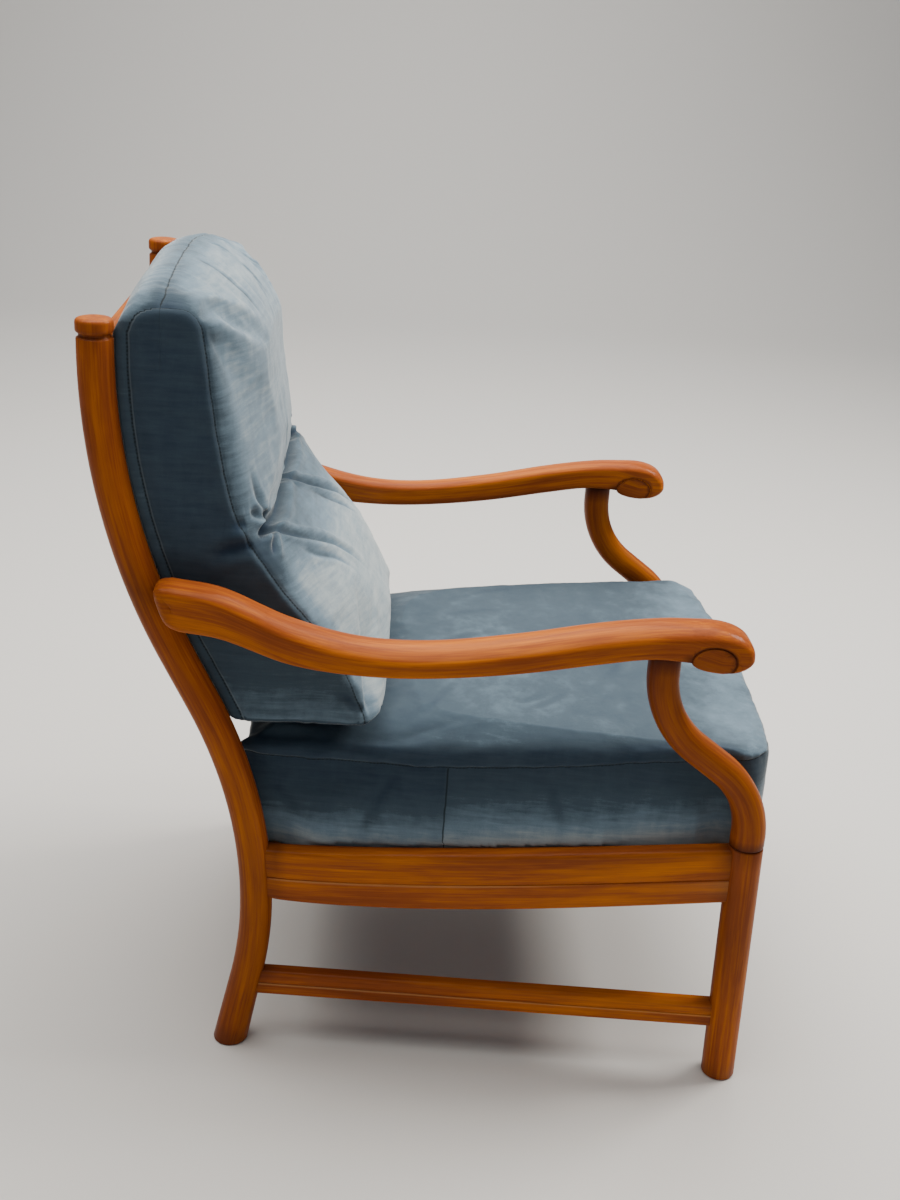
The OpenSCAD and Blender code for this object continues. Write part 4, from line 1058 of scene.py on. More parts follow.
def seatOutline():  # (x, forward) all round, from the middle of the front
    s = seat
    half = []
    wide, rear = seatHalf(s["reach"]), -s["reach"] * 0.025

    def bow(x):
        return s["bow"] * max(0, 1 - (x / (s["frontWidth"] / 2)) ** 2)

    cornerX = wide - s["frontCorner"]
    for i in range(24):
        x = cornerX * i / 24
        half.append((x, s["reach"] + bow(x)))
    for i in range(9):
        a = math.pi / 2 * i / 8
        x = wide - s["frontCorner"] * (1 - math.sin(a))
        half.append((x, s["reach"] + bow(x) * (1 - i / 8) - s["frontCorner"] * (1 - math.cos(a))))
    first, last = s["reach"] - s["frontCorner"], rear + s["rearCorner"]
    for i in range(1, 28):
        u = lerp(first, last, i / 28)
        half.append((seatHalf(u), u))
    for i in range(8):
        a = math.pi / 2 * i / 7
        x = seatHalf(0) - s["rearCorner"] * (1 - math.cos(a))
        half.append((x, rear + s["rearCorner"] * (1 - math.sin(a))))
    edge = seatHalf(0) - s["rearCorner"]
    for i in range(1, 16):
        half.append((edge * (1 - i / 16), rear))
    half.append((0, rear))
    return half + [(-x, u) for x, u in reversed(half[1:-1])]


def makeSeatStart():
    s = seat
    outline = seatOutline()
    middle = s["reach"] / 2
    inset = s["start"]
    rings = []

    def row(points, height):
        rings.append([(place(x, u, height(u)), (0, 0, 0)) for x, u in points])

    def scaled(points, k):
        return [(x * k, middle + (u - middle) * k) for x, u in points]

    base = grownOutline(outline, -inset)
    for k in (0.05, 0.3, 0.55, 0.8, 0.95):
        row(scaled(base, k), lambda u: seatFloor(u) + inset)
    for i in range(15):
        t = 0.012 + 0.976 * i / 14
        row(grownOutline(outline, s["bulge"] * through(seatBoxing, t) - inset),
            lambda u: lerp(seatFloor(u) + inset, seatSeam(u) - inset, t))
    faces = []  # how far the outline faces the front at each point
    for i in range(len(outline)):
        a, b = outline[i - 1], outline[(i + 1) % len(outline)]
        faces.append(max(0.0, (b[0] - a[0]) / math.dist(a, b)) ** 2)
    roll = ((0.0030, 0.07), (0.0058, 0.16), (0.0062, 0.26), (0.0040, 0.36))  # above the seam
    for grow, share in roll:
        ring = []
        for (x, u), (nearX, nearU), face in zip(grownOutline(outline, grow - inset), base, faces):
            x, u = lerp(x, nearX, 0.8 * face), lerp(u, nearU, 0.8 * face)
            z = lerp(seatSeam(u), through(seatTop, u), share * (1 - 0.5 * face)) - inset
            ring.append((place(x, u, z), (0, 0, 0)))
        rings.append(ring)
    for k in (0.975, 0.96, 0.93, 0.89, 0.85, 0.8, 0.74, 0.68, 0.6, 0.5, 0.4, 0.28, 0.16, 0.05):
        ring = []
        for (x, u), face in zip(scaled(base, k), faces):
            share = lerp(through(seatSideCrown, k), through(seatFrontCrown, k), face)
            ring.append((place(x, u, lerp(seatSeam(u), through(seatTop, u), share) - inset), (0, 0, 0)))
        rings.append(ring)
    return loft("seatCushion", rings)


def seatSeamLines(less=0.0):
    # Top and bottom seams of the boxing; the side vector points away from the boxing
    outline = grownOutline(seatOutline(), -less)
    outline.append(outline[0])
    n = len(outline)
    top, low = [], []
    for i, (x, u) in enumerate(outline):
        a, b = outline[(i - 1) % (n - 1)], outline[(i + 1) % (n - 1)]
        size = math.hypot(b[0] - a[0], b[1] - a[1])
        out = Vector(((b[1] - a[1]) / size, (b[0] - a[0]) / size, 0))
        out = -out if out.dot(place(x, u, 0) - place(0, seat["reach"] / 2, 0)) < 0 else out
        top.append((place(x, u, seatSeam(u) - less), (Vector((0, 0, 1)) - out).normalized()))
        low.append((place(x, u, seatFloor(u) + less), (Vector((0, 0, -1)) - out).normalized()))
    return top, low


seatHeld = treeOf(seatSeamLines(seat["start"]))[0]


def seatPinned(p):
    u = forwardOf(p)
    low = smoothStep((seatFloor(u) + 0.012 - p.z) / 0.006)
    pressed = smoothStep((0.19 - u) / 0.04) * smoothStep((p.z - 0.43) / 0.01)
    co, i, dist = seatHeld.find(p)
    return max(low, pressed, smoothStep((0.009 - dist) / 0.004))


seatCushion = makeSeatStart()
blowUp(seatCushion, seat, seatPinned)
drawEdges(seatCushion, seatSeamLines(0.001), 0.020)
seatCushion.name = seatCushion.data.name = "seatCushion"
print("seat cushion blown up")

# Back cushion
back = {
    "lowZ": 0.4675, "topZ": 0.970, "width": 0.520, "depth": 0.147, "frontCrown": 0.034, "topCrown": 0.020,
    "gap": 0.021, "roll": 0.234, "bulge": 0.005, "start": 0.003, "voxel": 0.0052, "pressure": 4.0,
    "cap": 0.022, "tufts": (-0.2, 0.0, 0.2), "creaseZ": 0.707,
}
backFront = [(0, 0.95), (0.03, 0.985), (0.085, 0.995), (0.16, 1), (0.25, 0.945), (0.338, 0.82),
             (0.44, 0.696), (0.487, 0.65), (0.545, 0.615), (0.645, 0.599), (0.76, 0.578), (0.88, 0.549),
             (0.955, 0.517)]
backTop = [(0.06, 0.976), (0.18, 0.998), (0.3, 1), (0.41, 0.995), (0.485, 0.978)]
backLayers = [(-1, 0, 1), (-0.73, 0, 0.98), (-0.46, 0, 0.94), (-0.23, 0, 0.86), (-0.1, 0, 0.78),
              (-0.035, 0, 0.55), (0, 0, 0), (0.6, 0.06, 0), (0.9, 0.2, 0), (1, 0.5, 0)]
backHigh = back["topZ"] - back["lowZ"]


def backRear(z):
    return postForward(z) + post["radius"] / math.cos(postLean(z)) + back["gap"]


def backSide():
    # forward, height, share of rear, of front crown, of top crown, of crease
    points = []
    for i in range(34):
        s = lerp(0.0, 0.938, i / 33)
        z = back["lowZ"] + s * backHigh
        points.append((backRear(z), z, 1, 0, 0, 0))
    topU = backRear(back["lowZ"] + 0.938 * backHigh)
    for i in range(1, 16):
        p = lerp(0.0, 0.517, i / 16)
        h = through([(0, 0.938)] + backTop + [(0.517, 0.955)], p)
        top = smoothStep(p * 8) * smoothStep((0.53 - p) * 9)
        points.append((topU + p * back["depth"], back["lowZ"] + h * backHigh, 1 - min(1, p * 3),
                       max(0, min(1, p * 1.6 - 0.3)), top, 0))
    for i in range(56):
        s = lerp(0.955, 0.0, i / 55)
        z = back["lowZ"] + s * backHigh
        crease = 0.32 * bell(s - 0.48, 0.035)
        top = 0.6 * smoothStep((s - 0.80) / 0.155)
        points.append((backRear(z) + through(backFront, s) * back["depth"], z, 0, 1, top, crease))
    a, b = points[-1], points[0]
    for i in range(1, 14):
        t = i / 14
        rear, front = smoothStep(t * 1.2 - 0.2), 1 - smoothStep(t * 3)
        points.append((lerp(a[0], b[0], t), lerp(a[1], b[1], t), rear, front, 0, 0))
    return points


backProfile = backSide()


def makeBackStart():
    b = back
    flat = grownOutline([(-p[0], p[1]) for p in backProfile], b["start"])
    shares = [1, 0.97, 0.9, 0.75, 0.6, 0.4, 0.2, 0.08, 0, -0.012, -0.03, -0.055, -0.09, -0.13, -0.18,
              -0.24, -0.31, -0.39, -0.48, -0.58, -0.68, -0.79, -0.9, -1]
    rings = []

    def layer(q, side):
        draw = max(0, through([(k[0], k[1]) for k in backLayers], q)) if q > 0 else 0
        crown = through([(k[0], k[2]) for k in backLayers], q) if q < 0 else 0
        wide = b["width"] / 2 * min(1, 1 + q) - b["start"]
        rear = max(0, 1 - ((max(wide, b["roll"]) - b["roll"]) / (b["width"] / 2 - b["roll"])) ** 3) ** (1 / 3)
        aside = min(1, abs(plan["postX"] - wide) / post["radius"])
        beside = b["gap"] + post["radius"] * (1 - math.sqrt(1 - aside**2)) - 0.0018
        ring = []
        for p, f in zip(backProfile, flat):
            s = min(0.86, max(0.14, (p[1] - b["lowZ"]) / backHigh))
            cz = b["lowZ"] + s * backHigh
            cu = backRear(cz) + b["depth"] * (0.3 if s > 0.5 else 0.45)
            lean = postLean(p[1])
            bulge = lerp(0.6, 1, math.sin(math.pi * (p[1] - b["lowZ"]) / backHigh))
            x = wide + b["bulge"] * max(0, q) * bulge
            inward = min(rear * ((post["radius"] - 0.0095) / math.cos(lean) + b["gap"] - 0.004), beside)
            u = -f[0] - p[2] * inward + p[3] * b["frontCrown"] * crown * (1 - p[5])
            z = f[1] + p[4] * b["topCrown"] * crown
            ring.append((place(side * x, lerp(u, cu, draw), lerp(z, cz, draw)), (0, 0, 0)))
        return ring

    for q in shares:
        rings.append(layer(q, -1))
    for q in reversed(shares[:-1]):
        rings.append(layer(q, 1))
    return loft("backCushion", rings)


def backSeamLines(less=0.0):
    flat = grownOutline([(-p[0], p[1]) for p in backProfile], less)
    lines = []
    for side in (-1, 1):
        line = []
        n = len(flat)
        for i in range(n + 1):
            p, a, b = flat[i % n], flat[(i - 1) % n], flat[(i + 1) % n]
            size = math.hypot(b[0] - a[0], b[1] - a[1])
            inward = Vector((0, -(b[1] - a[1]) / size, (b[0] - a[0]) / size))
            at = place(side * (back["width"] / 2 - less), -p[0], p[1])
            line.append((at, (Vector((side, 0, 0)) + inward).normalized()))
        lines.append(line)
    return lines


backHeld = treeOf(backSeamLines(back["start"]))[0]


def creaseHeight(x):  # the lobes between the tufts hang a little lower
    if abs(x) >= 0.2:
        return back["creaseZ"] + 0.03 * (abs(x) - 0.2)
    return back["creaseZ"] - 0.010 * abs(math.sin(math.pi * ((x + 0.2) / 0.2))) ** 0.8


def backPinned(p):
    u = forwardOf(p)
    z = min(max(p.z, back["lowZ"]), back["topZ"])
    rear = smoothStep((backRear(z) + 0.002 - u) / 0.004) * smoothStep((0.262 - abs(p.x)) / 0.01)
    co, i, dist = backHeld.find(p)
    seam = smoothStep((0.009 - dist) / 0.004)
    crease = 0
    if u > backRear(z) + 0.05:
        near = smoothStep((0.008 - abs(p.z - creaseHeight(p.x))) / 0.004)
        crease = near * smoothStep((0.235 - abs(p.x)) / 0.02)
    return max(rear, seam, crease)


backCushion = makeBackStart()
blowUp(backCushion, back, backPinned)
drawEdges(backCushion, backSeamLines(0.001))
# The head is full near its left end and falls away to its right end
headLine = [(-0.262, 0.967), (-0.245, 0.978), (-0.228, 0.985), (-0.17, 0.993), (-0.11, 0.998), (0, 1),
            (0.1, 0.990), (0.2, 0.974), (0.24, 0.963), (0.262, 0.953)]
cells = 44
tops = [0.0] * cells
for v in backCushion.data.vertices:
    k = min(cells - 1, max(0, int((v.co.x + 0.264) / 0.528 * cells)))
    tops[k] = max(tops[k], v.co.z)
tops = [(-0.264 + 0.528 * (k + 0.5) / cells, z) for k, z in enumerate(tops)]
for v in backCushion.data.vertices:
    v.co.z += (through(headLine, v.co.x) - through(tops, v.co.x)) * smoothStep((v.co.z - 0.86) / 0.11)
backCushion.name = backCushion.data.name = "backCushion"
print("back cushion blown up")


# Seat cushion: seams, folds and wrinkles
def railInner(u):
    return plan["postX"] - rail["thick"] / 2 + u * (plan["legX"] - plan["postX"]) / plan["seatDepth"]


def sideReach(cells):  # how far out the boxing stands, cell by cell along the seat
    reach = [0.0] * cells
    for v in seatCushion.data.vertices:
        u = forwardOf(v.co)
        t = (v.co.z - seatFloor(u)) / seat["boxing"]
        if 0.1 < t < 0.4:
            k = min(cells - 1, max(0, int(u / plan["seatDepth"] * cells)))
            reach[k] = max(reach[k], abs(v.co.x))
    return [(plan["seatDepth"] * (k + 0.5) / cells, r) for k, r in enumerate(reach)]


def fromStrap(u):  # distance to the middle of the nearest strap
    return abs((u / edge["pitch"] + 0.5) % 1 - 0.5) * edge["pitch"]


# The boxing leans on the side rails and sinks a little between the straps
edge = {
    "over": 0.0045, "gap": 0.0008, "drop": 0.004, "sink": 0.0035, "pitch": 0.0868, "strap": 0.0255,
    "pressedZ": 0.4640, "armGap": 0.0012, "armFrom": 0.44, "cornerZ": 0.432, "cornerLift": 0.018,
    "cornerBack": 0.024,
}
boxingReach = sideReach(24)
for v in seatCushion.data.vertices:
    u = forwardOf(v.co)
    t = (v.co.z - seatFloor(u)) / seat["boxing"]
    outer = smoothStep((abs(v.co.x) - 0.19) / 0.03)
    along = smoothStep((u - 0.035) / 0.05) * smoothStep((0.572 - u) / 0.05)
    push = max(0.0, railInner(u) + edge["over"] - through(boxingReach, u)) * smoothStep((0.80 - t) / 0.55)
    v.co.x += math.copysign(push * along * outer, v.co.x)
    if t < 0.4:
        sink = edge["drop"] + edge["sink"] * smoothStep((fromStrap(u) - edge["strap"]) / 0.010)
        v.co.z -= smoothStep((0.4 - t) / 0.3) * outer * along * sink


def joinLine(side):  # the seam down the boxing, behind the middle
    u = seat["joinAt"]
    x = side * (seatHalf(u) + 0.002)
    points = [place(x, u, lerp(seatFloor(u), seatSeam(u), i / 12)) for i in range(13)]
    return [(p, Vector((0, -1, 0))) for p in onSurface(seatCushion, points, 0.02)]


seatPucker = {
    "groove": 0.0018, "fine": 0.0011, "finePitch": 95, "fineSeed": 0.3, "reach": 0.035, "broadPitch": 32,
    "broadSeed": 4.1, "drift": 0.0,
}
seamGaps = puckerSeams(seatCushion, seatSeamLines(0.001), seatPucker)

topWrinkles = [  # on the seat's top: (x, forward) from where the back cushion presses to the sitter's place
    ([(-0.205, 0.205), (-0.150, 0.232), (-0.105, 0.252)], 0.0032, 0.0060, 0.45, 0.35, 0.4),
    ([(-0.190, 0.330), (-0.160, 0.372), (-0.118, 0.400)], 0.0038, 0.0055, 0.45, 0.3, 0.4),
    ([(-0.172, 0.322), (-0.150, 0.352), (-0.125, 0.372)], 0.0028, 0.0050, 0.4, 0.3, 0.4),
    ([(-0.02, 0.210), (0.03, 0.262), (0.055, 0.318)], 0.0032, 0.0070, 0.4, 0.35, 0.4),
    ([(0.10, 0.235), (0.128, 0.30), (0.135, 0.352)], 0.0028, 0.0065, 0.4, 0.35, 0.4),
    ([(0.165, 0.26), (0.202, 0.305), (0.222, 0.37)], 0.0026, 0.0060, 0.4, 0.35, 0.4),
    ([(-0.10, 0.44), (-0.05, 0.47), (0.02, 0.485)], 0.0020, 0.0075, 0.4, 0.4, 0.4),
]
slants = [  # creases in the boxing: forward and height share at both ends, depth
    (0.175, 0.95, 0.125, 0.12, 0.0015), (0.36, 0.9, 0.385, 0.2, 0.0010), (0.03, 0.75, 0.075, 0.3, 0.0012),
]
seatFolds = [([place(x, u, seatSeam(u) + 0.05) for x, u in line], *shape) for line, *shape in topWrinkles]
for side in (-1, 1):
    for u0, t0, u1, t1, depth in slants:
        line = []
        for k in range(3):
            u, t = lerp(u0, u1, k / 2), lerp(t0, t1, k / 2)
            line.append(place(side * (seatHalf(u) + 0.004), u, lerp(seatFloor(u), seatSeam(u), t)))
        seatFolds.append((line, depth, 0.008, 0.35, 0.3, 0.4))
pressFolds(seatCushion, seatFolds)
# The painted crease shade is weaker on the seat
for item in layerOf(seatCushion, "creaseShade").data:
    item.value *= 0.4


def seatRumple(p, n):  # metres along the normal
    u = forwardOf(p)
    top = smoothStep((n.z - 0.55) / 0.3)
    middle = bell(u - 0.33, 0.17) * bell(p.x, 0.21)
    slow = bumps(p.x * 9, p.y * 9, 1.7) * 0.0035
    quick = noise.noise(Vector((p.x * 30, p.y * 24, 7.7)) + Vector((slow * 300, 0, 0))) * 0.0016
    small = bumps(p.x * 70, p.y * 62, p.z * 60) * 0.0005
    flat = -0.006 * middle + slow * 0.7 + quick * (0.35 + middle)
    return top * flat + small + (1 - top) * noise.noise(p * 16) * 0.0018


pushOut(seatCushion, [seatRumple(v.co, v.normal) for v in seatCushion.data.vertices])
armSide = plan["legX"] - max(leg["radius"], support["width"] / 2) - edge["armGap"]
for v in seatCushion.data.vertices:  # clear of the rails and the straps
    u = forwardOf(v.co)
    if 0 < u < 0.6 and abs(v.co.x) > 0.19:
        if fromStrap(u) < edge["strap"] or abs(v.co.x) < railInner(u) - 0.02:
            v.co.z = max(v.co.z, seatFloor(u))
        if u < 0.148 and abs(v.co.x) < 0.27:  # and of the back cushion
            v.co.z = min(v.co.z, edge["pressedZ"])
        if v.co.z < railEdges(u / plan["seatDepth"])[1] + edge["gap"]:
            v.co.x = math.copysign(min(abs(v.co.x), railInner(u) - edge["gap"]), v.co.x)
    # clear of the arm supports when the cushion is lifted
    beside = armSide + 0.02 * smoothStep((edge["armFrom"] - u) / 0.05)
    v.co.x = math.copysign(min(abs(v.co.x), beside), v.co.x)
    if v.co.z > edge["cornerZ"]:
        corner = smoothStep((abs(v.co.x) - 0.200) / 0.035) * smoothStep((0.08 - u) / 0.06)
        lift = edge["cornerLift"] * corner * smoothStep((v.co.z - edge["cornerZ"]) / 0.012)
        v.co.z = min(edge["pressedZ"], v.co.z + lift)
    # the rear corners reach the posts
    u -= edge["cornerBack"] * smoothStep((abs(v.co.x) - 0.215) / 0.025) * smoothStep((0.09 - u) / 0.07)
    v.co.y = plan["middle"] - clearOfPost(v.co.x, v.co.z, u)
markLines(seatCushion, [joinLine(-1), joinLine(1)], "joinGap")
# Painted light: the boxing is painted pale at the bottom and darker at the top. Behind its joins it is darker
# still
boxingTone = [(0, 1.0), (0.12, 0.94), (0.28, 0.78), (0.42, 0.60), (0.58, 0.45), (0.75, 0.33), (1, 0.27)]
seatTone = layerOf(seatCushion, "velvetTone")  # before the other is fetched, as a new layer moves the old ones
joins = layerOf(seatCushion, "joinGap")
for v, g in zip(seatCushion.data.vertices, seamGaps):
    u = forwardOf(v.co)
    if g > 0:  # the boxing's joins end at the seam
        joins.data[v.index].value = 0.09
    t = (v.co.z - seatFloor(u)) / (seatSeam(u) - seatFloor(u))
    if g < 0:
        tone = through(boxingTone, t)
        tone -= 0.10 * smoothStep((seat["joinAt"] - u) / 0.004) * smoothStep((abs(v.co.x) - 0.2) / 0.01)
        # Painted light: the front boxing is painted paler
        tone += 0.12 * smoothStep((u - 0.62) / 0.01)
    else:
        # Painted shade on the rolled edge by the seams, except at the front, and painted light towards the
        # front
        roll = smoothStep((0.030 - g) / 0.010)
        tone = 0.38 - 0.20 * roll * smoothStep((0.61 - u) / 0.03) + 0.20 * smoothStep((u - 0.48) / 0.15)
        tone += 0.12 * bell(u - 0.30, 0.09) * bell(v.co.x + 0.02, 0.17)
    # Painted shade: the underside is painted dark
    if v.co.z < seatFloor(u) + 0.002 and abs(v.co.x) < seatHalf(u) - 0.012:
        tone = 0.15
    seatTone.data[v.index].value = tone
print("seat cushion done")

# Back cushion: seams, the tufted crease and its folds
backPucker = {
    "groove": 0.0017, "fine": 0.0012, "finePitch": 90, "fineSeed": 0.9, "reach": 0.04, "broadPitch": 30,
    "broadSeed": 2.1, "drift": 1.0,
}
seamGaps = puckerSeams(backCushion, backSeamLines(0.001), backPucker)

frontAt = [(0.45, 0.15), (0.48, 0.144), (0.526, 0.131), (0.565, 0.111), (0.614, 0.078), (0.652, 0.048),
           (0.684, 0.019), (0.707, 0.003), (0.748, -0.006), (0.807, -0.014), (0.864, -0.029),
           (0.913, -0.046), (0.96, -0.075)]


def onFront(x, z):
    return place(x, through(frontAt, z) + 0.004, z)


creaseLine = [onFront(x / 1000, creaseHeight(x / 1000)) for x in range(-248, 249, 8)]
backFolds = [(creaseLine, 0.011, 0.0065, 0.30, 0.06, 0.06)]


def nearCrease(x, spots):  # points on the front, each given by its distance from x and from the crease
    return [onFront(x + dx, back["creaseZ"] + dz) for dx, dz in spots]


dimple = [(-0.022, 0.001), (0, 0), (0.022, 0.001)]
upward = [(-0.004, 0.006), (-0.02, 0.045), (-0.028, 0.085)]
diagonal = [(0.0, -0.010), (0.030, -0.030), (0.066, -0.050), (0.105, -0.072), (0.135, -0.100),
            (0.152, -0.138)]
beside = [(dx * 0.9 - 0.014, dz * 1.1 - 0.006) for dx, dz in diagonal[1:5]]
for tuft in back["tufts"]:
    backFolds.append((nearCrease(tuft, dimple), 0.016, 0.0120, 0.0, 0.45, 0.45))
for tuft in back["tufts"]:  # a long crease runs down from each tuft but the last
    if tuft < 0.15:
        backFolds.append((nearCrease(tuft, diagonal), 0.0055, 0.0058, 0.5, 0.05, 0.5))
        backFolds.append((nearCrease(tuft, beside), 0.0024, 0.0050, 0.4, 0.3, 0.5))
    backFolds.append((nearCrease(tuft, upward), 0.0034, 0.0060, 0.4, 0.05, 0.7))
for side in (-1, 1):  # short pleats from the outer tufts to the side seams
    for dz, depth in ((0.022, 0.0050), (0.002, 0.0062), (-0.016, 0.0034)):
        line = nearCrease(0, [(side * x, dz * k) for x, k in ((0.204, 0.2), (0.230, 0.9), (0.256, 1.5))])
        backFolds.append((line, depth, 0.0048, 0.5, 0.1, 0.35))
topAt = -0.1075
# Long creases over the top edge: where they start and end across the cushion, and their depth
for x0, x1, depth in ((0.02, 0.055, 0.0036), (0.115, 0.155, 0.0036), (-0.10, -0.075, 0.0014)):
    line = [place(x0, topAt + 0.012, 0.99), place(lerp(x0, x1, 0.25), topAt + 0.048, 0.985),
            place(lerp(x0, x1, 0.55), -0.040, 0.955), place(x1, -0.030, 0.915)]
    backFolds.append((line, depth, 0.0042, 0.45, 0.15, 0.35))
gussetFolds = [  # where the profile turns
    ([(0.264, -0.004, 0.700), (0.266, -0.030, 0.694), (0.266, -0.058, 0.680)], 0.0030, 0.0080, 0.5, 0.1, 0.5),
    ([(0.264, -0.008, 0.725), (0.266, -0.036, 0.722)], 0.0022, 0.0070, 0.5, 0.1, 0.5),
    ([(0.262, 0.130, 0.487), (0.266, 0.108, 0.505), (0.266, 0.085, 0.512)], 0.0028, 0.0080, 0.4, 0.1, 0.5),
]
for side in (-1, 1):
    backFolds += [([place(side * x, u, z) for x, u, z in line], *shape) for line, *shape in gussetFolds]
pressFolds(backCushion, backFolds)


def backRumple(p):
    slow = noise.noise(p * 11 + Vector((3, 0, 0))) * 0.0026
    small = noise.noise(p * 60) * 0.0005
    return slow + small + noise.noise(p * 27) * 0.0008


def nearestRear(z):
    return backRear(min(max(z, back["lowZ"]), back["topZ"]))


pushOut(backCushion, [backRumple(v.co) for v in backCushion.data.vertices])
topPoints = [place(x / 1000, topAt, through(headLine, x / 1000) + 0.004) for x in range(-256, 257, 16)]
topSeam = [(p, Vector((0, -1, 0))) for p in onSurface(backCushion, topPoints)]
markLines(backCushion, [topSeam], "joinGap", reach=0.09)
rearSides = layerOf(backCushion, "rearSide")  # before the other is fetched, as a new layer moves the old ones
joins = layerOf(backCushion, "joinGap")
for v in backCushion.data.vertices:
    u = forwardOf(v.co)
    if v.co.z < 0.9:
        joins.data[v.index].value = 0.09
    else:  # the top seam and the gathers beside it
        gap = joins.data[v.index].value
        gather = bumps(v.co.x * 72, abs(gap) * 9 + 3, 2.3) + 0.5 * bumps(v.co.x * 150, abs(gap) * 9, 5.1)
        v.co.z += 0.0016 * gather * math.exp(-abs(gap) / 0.024) - 0.0016 * bell(gap, 0.0035)
    behind = u - nearestRear(v.co.z)
    rearSides.data[v.index].value = 1.0 if behind < 0.04 else 0.0
    # the corners reach the posts
    u -= 0.009 * smoothStep((abs(v.co.x) - 0.240) / 0.018) * smoothStep((0.055 - behind) / 0.045)
    v.co.y = plan["middle"] - clearOfPost(v.co.x, v.co.z, u)
backTone = layerOf(backCushion, "velvetTone")
for v, g in zip(backCushion.data.vertices, seamGaps):
    u = forwardOf(v.co)
    if g > 0:  # gussets
        # Painted light: the gussets are painted paler towards the bottom
        tone = 0.22 + 0.26 * smoothStep((0.56 - v.co.z) / 0.10) + 0.10 * smoothStep((0.75 - v.co.z) / 0.15)
        tone += 0.06 * smoothStep((0.012 - g) / 0.010)
    elif u < nearestRear(v.co.z) + 0.035 and v.co.z < 0.95:
        tone = 0.36  # rear
    else:
        # Painted sheen: the front is painted pale, and darker near the side seams where it turns away
        tone = 0.80 - 0.34 * smoothStep((0.055 + g) / 0.050) * smoothStep((0.98 - v.co.z) / 0.05)
        # Painted shade under the crease, and painted light on the lumbar below it
        low = smoothStep((back["creaseZ"] - v.co.z) / 0.01) * bell(v.co.z - 0.69, 0.03)
        tone -= 0.22 * low
        tone += 0.16 * smoothStep((0.68 - v.co.z) / 0.05)
        # Painted shade in the tuft hollows
        for tuft in back["tufts"]:
            tone -= 0.34 * bell(v.co.x - tuft, 0.014) * bell(v.co.z - back["creaseZ"], 0.012)
        if v.co.z > 0.93:
            # Painted shade at the top corners and along the top seam
            tone -= 0.45 * bell(abs(v.co.x) - 0.262, 0.035) * bell(u - topAt - 0.01, 0.035)
            tone -= 0.22 * bell(u - topAt, 0.022)
    # Painted shade: the underside is painted dark
    if v.co.z < back["lowZ"] + 0.006:
        tone = 0.2
    backTone.data[v.index].value = max(0, tone)
print("back cushion done")


# Velvet: a dark pile that turns pale at its edges, where it is brushed and where it is seen aslant; each
# cushion's tone attribute adds painted light and shade, and its creases painted shade
def makeNapGroup():
    group, g, source, result = startGroup("velvetNap", "Vector", ("Mottle", "Streaks", "Fuzz"))
    broad = g.noiseAt(source, 17.0, 6.0, 0.66, 0.6)
    tall = g.noiseAt(g.mapped(source, Scale=(1.0, 1.0, 0.38)), 55.0, 5.0, 0.62, 0.4)
    level = g.noiseAt(g.mapped(source, Scale=(0.22, 0.22, 2.2)), 75.0, 5.0, 0.65, 0.3)
    g.link(g.weighed(broad, 0.5, tall, 0.5), result.inputs["Mottle"])
    g.link(level, result.inputs["Streaks"])
    g.link(g.noiseAt(source, 900.0, 3.0, 0.7), result.inputs["Fuzz"])
    return group


velvetLooks = {
    "deep": (0.020, 0.037, 0.064), "middle": (0.052, 0.081, 0.108), "blue": (0.150, 0.222, 0.285),
    "pale": (0.40, 0.46, 0.475), "thread": (0.012, 0.018, 0.022), "sheen": 0.5,
    "sheenTint": (0.84, 0.86, 0.84), "roughness": 0.9, "bump": 0.35, "stitch": 0.0045,
}
velvet, g, shader = newMaterial("velvet")
velvetTone = g.add("ShaderNodeGroup", node_tree=makeNapGroup())
g.link(g.ownPlace(), velvetTone.inputs["Vector"])
tone, seamGap, seamRun, joinGap, creaseShade, rearSide = (
    g.attribute(name) for name in ("velvetTone", "seamGap", "seamRun", "joinGap", "creaseShade", "rearSide"))
fromSeam, fromJoin = g.sums("ABSOLUTE", seamGap, 0.0), g.sums("ABSOLUTE", joinGap, 0.0)
mottle = g.spread(velvetTone.outputs["Mottle"], 0.33, 0.67, -0.07, 0.07)
streaks = g.spread(velvetTone.outputs["Streaks"], 0.3, 0.7, -0.08, 0.08)
# The cushion's tone carries painted light and shade
level = g.sums("ADD", g.sums("ADD", tone, mottle), streaks)
# Painted shade in the creases
level = g.sums("SUBTRACT", level, g.sums("MULTIPLY", creaseShade, 0.34))
level = g.sums("ADD", level, g.spread(velvetTone.outputs["Fuzz"], 0.2, 0.8, -0.05, 0.05))
shades = ((0.02, "deep"), (0.42, "middle"), (0.72, "blue"), (1.0, "pale"))
colour = g.ramp(level, [(at, velvetLooks[shade]) for at, shade in shades])
seamLine = g.spread(fromSeam, 0.0006, 0.0016, 1.0, 0.0)
joinLineMask = g.spread(fromJoin, 0.0005, 0.0015, 1.0, 0.0)
stitch = g.sums("SINE", g.sums("MULTIPLY", seamRun, 2 * math.pi / velvetLooks["stitch"]), 0.0)
stitch = g.spread(stitch, -0.2, 0.4, 0.55, 1.0)
line = g.sums("MULTIPLY", g.sums("MAXIMUM", g.sums("MULTIPLY", seamLine, stitch), joinLineMask), 0.85)
paleEdge = g.spread(g.sums("ABSOLUTE", g.sums("SUBTRACT", seamGap, 0.0022), 0.0), 0.0002, 0.0014, 1.0, 0.0)
paleEdge = g.sums("MULTIPLY", g.sums("MULTIPLY", paleEdge, rearSide), 0.13)
colour = g.mix(paleEdge, colour, velvetLooks["pale"])
colour = g.mix(line, colour, velvetLooks["thread"])
g.link(colour, shader.inputs["Base Color"])
shader.inputs["Roughness"].default_value = velvetLooks["roughness"]
shader.inputs["Specular IOR Level"].default_value = 0.2
